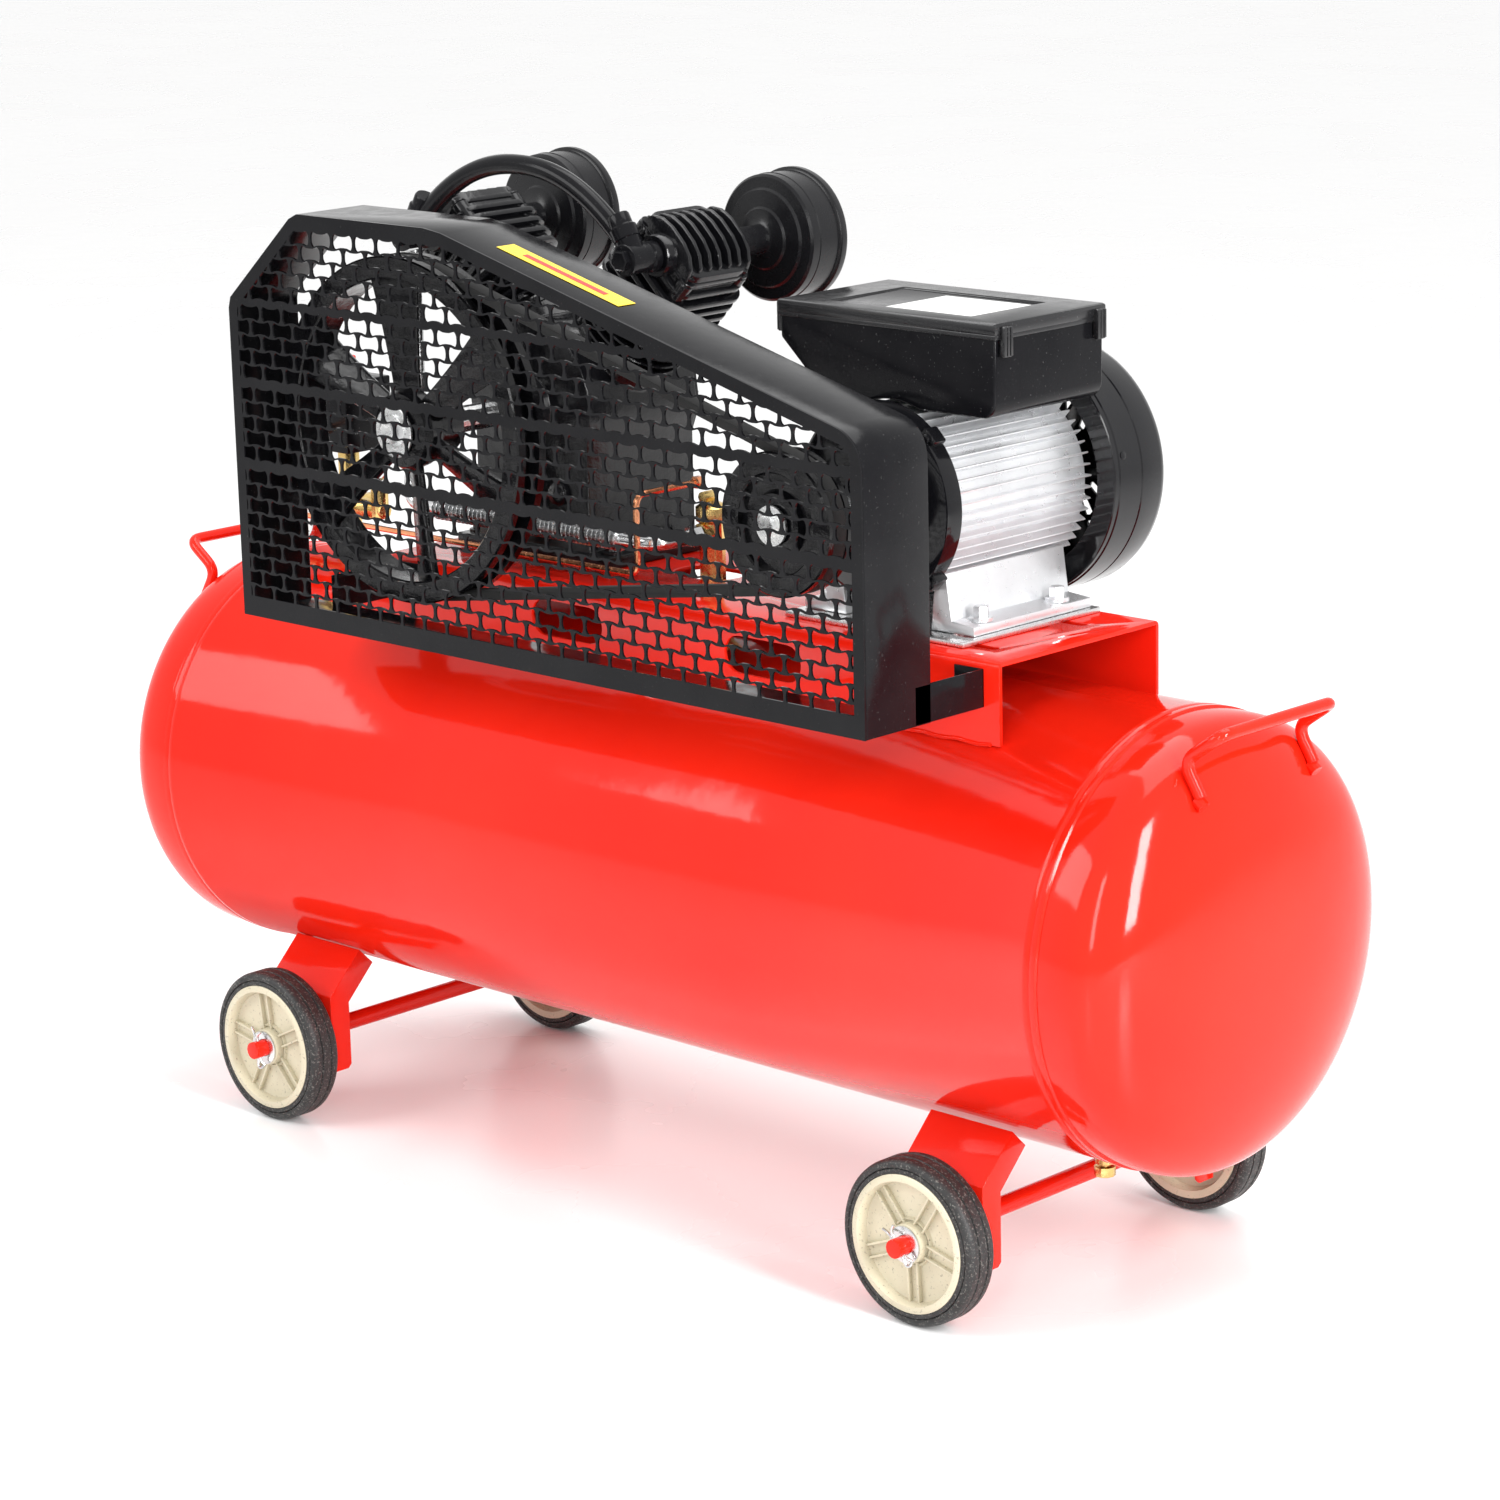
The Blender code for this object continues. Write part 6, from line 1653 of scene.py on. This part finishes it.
@dataclass
class Fittings(Assembly):
    """The small air fittings: valves, manifold, switch, gauge, tap and drain."""

    def simple(self) -> None:
        """Rounds the fittings whose frame shape is right and dresses them."""
        for node, finish, body, slot, edge in (("check_valve", BRASS, "tank", "brass", 0.0008),
                ("manifold", BRASS, "tank", "brass", 0.0008), ("outlet_tap", BRASS, "tank", "brass",
                0.0007), ("safety_valve", BRASS, "tank", "brass", 0.0006), ("drain_valve", BRASS,
                "tank", "brass", 0.0006), ("drain_screw", BRASS, "drain", "brass", 0.0005),
                ("pressure_switch", MOULDED, "tank", "black_plastic", 0.0030), ("switch_button",
                SIGNAL, "button", "red_plastic", 0.0010), ("tap_lever", SIGNAL, "lever",
                "red_plastic", 0.0008), ("safety_ring", STEEL, "ring", "steel", 0.0002)):
            self.put(Bench.refined(node, edge, 3, 26), finish, body, slot, node)

    def copper(self) -> None:
        """Bends the copper tube with a flare nut at each end."""
        low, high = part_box("unloader_tube")
        valve, switch = self.middle("check_valve"), self.middle("pressure_switch")
        y, z = low.y + 0.003, low.z + 0.003
        corners = [(valve.x, high.y, high.z - 0.003), (valve.x, y, high.z - 0.003), (valve.x, y, z),
            (switch.x, y, z), (switch.x, y, 0.662), (switch.x,
            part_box("pressure_switch")[0].y - 0.0003, 0.662)]
        pieces = [Bench.bar("tube", Bench.bent(corners, 0.012, 6), 0.00295, 3)]
        nut = [(0, 0), (0.0055, 0), (0.0062, 0.0008), (0.0062, 0.0088), (0.0045, 0.0105),
            (0, 0.0105)]
        for at, axis in (((corners[0][0], high.y, corners[0][2]), Axis.FRONT),
                (corners[-1], Axis.FRONT)):
            pieces.append(Bench.turned("nut", nut, at, axis.value, 6))
        self.put(Bench.joined("unloader_tube_skin", pieces), COPPER, "tank", "copper",
            "unloader_tube")

    def gauge(self) -> None:
        """Turns the gauge's case and lays out its plain dial, ticks and needle."""
        low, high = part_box("pressure_gauge")
        at = self.middle("pressure_gauge")
        deep = high.y - low.y
        case = [(0, 0), (0.006, 0), (0.006, 0.012), (0.0235, 0.0135), (0.0248, 0.0150),
            (0.0248, deep - 0.003), (0.0240, deep), (0.0222, deep), (0.0216, deep - 0.0028),
            (0, deep - 0.0028)]
        self.put(Bench.turned("pressure_gauge_skin", case, (at.x, high.y, at.z), Axis.FRONT.value,
            64), STEEL, "tank", "steel", "pressure_gauge")
        face = low.y + 0.0028
        dial = Bench.turned("gauge_dial", [(0, 0), (0.0215, 0), (0.0215, 0.0006), (0, 0.0006)],
            (at.x, face, at.z), Axis.FRONT.value, 48)
        self.put(dial, GLASS, "tank", "steel")
        tick = Bench.block("tick", (-0.0004, face - 0.0009, 0.0160),
            (0.0004, face - 0.0005, 0.0200), 0.0001)
        turns = [radians(135 - 22.5 * step) for step in range(13)]
        pieces = Bench.repeated(tick, [Bench.hung(at.x, at.z, turn) for turn in turns])
        needle = Bench.plate("needle", [(-0.0009, -0.005), (0.0009, -0.005), (0.0003, 0.0165),
            (-0.0003, 0.0165)], face - 0.0013, face - 0.0009)
        pieces += Bench.repeated(needle, [Bench.hung(at.x, at.z, turns[0])])
        self.put(Bench.joined("gauge_marks", pieces), MOULDED, "tank", "steel")

    def build(self) -> None:
        """Makes all the fittings."""
        self.simple()
        self.copper()
        self.gauge()


# ---------------------------------------------------------------- studio

@dataclass
class Studio:
    """A pale floor, soft boxes and the camera."""

    lens: float = 105.2
    distance: float = 4.0816
    azimuth: float = 44.194
    elevation: float = 14.137
    roll: float = -1.357
    target: Point = (0.0520, 0.0169, 0.4133)

    def floor(self) -> None:
        """Rolls out the floor."""
        Bench.clear()
        bpy.ops.mesh.primitive_plane_add(size=40, location=(0, 0, -0.0006))
        floor = bpy.context.object
        floor.name = floor.data.name = "floor"
        Bench.pick(floor)
        bpy.ops.object.transform_apply(location=True)
        floor.data.materials.append(FLOOR.material())

    def light(self, name: str, at: Point, size: tuple[float, float], watts: float) -> None:
        """Hangs one soft box that faces the compressor.

        Args:
            name: the light's name.
            at: where it hangs.
            size: its width and height in metres.
            watts: its power.
        """
        bpy.ops.object.light_add(type="AREA", location=at)
        lamp = bpy.context.object
        lamp.name = name
        lamp.data.shape = "RECTANGLE"
        lamp.data.size, lamp.data.size_y = size
        lamp.data.energy = watts
        way = Vector(self.target) - Vector(at)
        lamp.rotation_euler = way.to_track_quat("-Z", "Y").to_euler()

    def camera(self) -> None:
        """Sets up the camera."""
        a, e, roll = radians(self.azimuth), radians(self.elevation), radians(self.roll)
        back = Vector((sin(a) * cos(e), -cos(a) * cos(e), sin(e)))
        right = Vector((cos(a), sin(a), 0))
        up = back.cross(right)
        across, above = right * cos(roll) + up * sin(roll), up * cos(roll) - right * sin(roll)
        bpy.ops.object.camera_add()
        camera = bpy.context.object
        turn = Matrix((across, above, back)).transposed().to_4x4()
        camera.matrix_world = Matrix.Translation(Vector(self.target) + back * self.distance) @ turn
        camera.data.lens, camera.data.sensor_width = self.lens, 36
        bpy.context.scene.camera = camera

    def build(self) -> None:
        """Sets up the floor, the light and the camera."""
        self.floor()
        world = bpy.data.worlds.new("studio")
        world.use_nodes = True
        world.node_tree.nodes["Background"].inputs["Color"].default_value = (1, 1, 1, 1)
        world.node_tree.nodes["Background"].inputs["Strength"].default_value = 1.0
        bpy.context.scene.world = world
        bpy.context.scene.view_settings.view_transform = "Standard"
        self.light("key", (-1.6, -3.0, 2.6), (2.4, 1.6), 70)
        self.light("window", (3.4, -0.5, 1.6), (0.5, 2.3), 135)
        self.light("strip", (2.2, -2.9, 1.6), (0.4, 2.0), 26)
        self.light("top", (0.2, 0.6, 3.2), (3.0, 1.6), 55)
        self.camera()


def main() -> None:
    """Builds the compressor."""
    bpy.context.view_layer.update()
    Studio().build()
    receiver = Receiver()
    receiver.build()
    Handles().build(receiver)
    for assembly in (Platform(), Undercarriage(), Wheels(), BeltGuard(), BeltDrive(), Pump(),
            Motor(), Fittings()):
        LOG.info("-- %s", type(assembly).__name__)
        assembly.build()


if __name__ == "__main__":
    main()
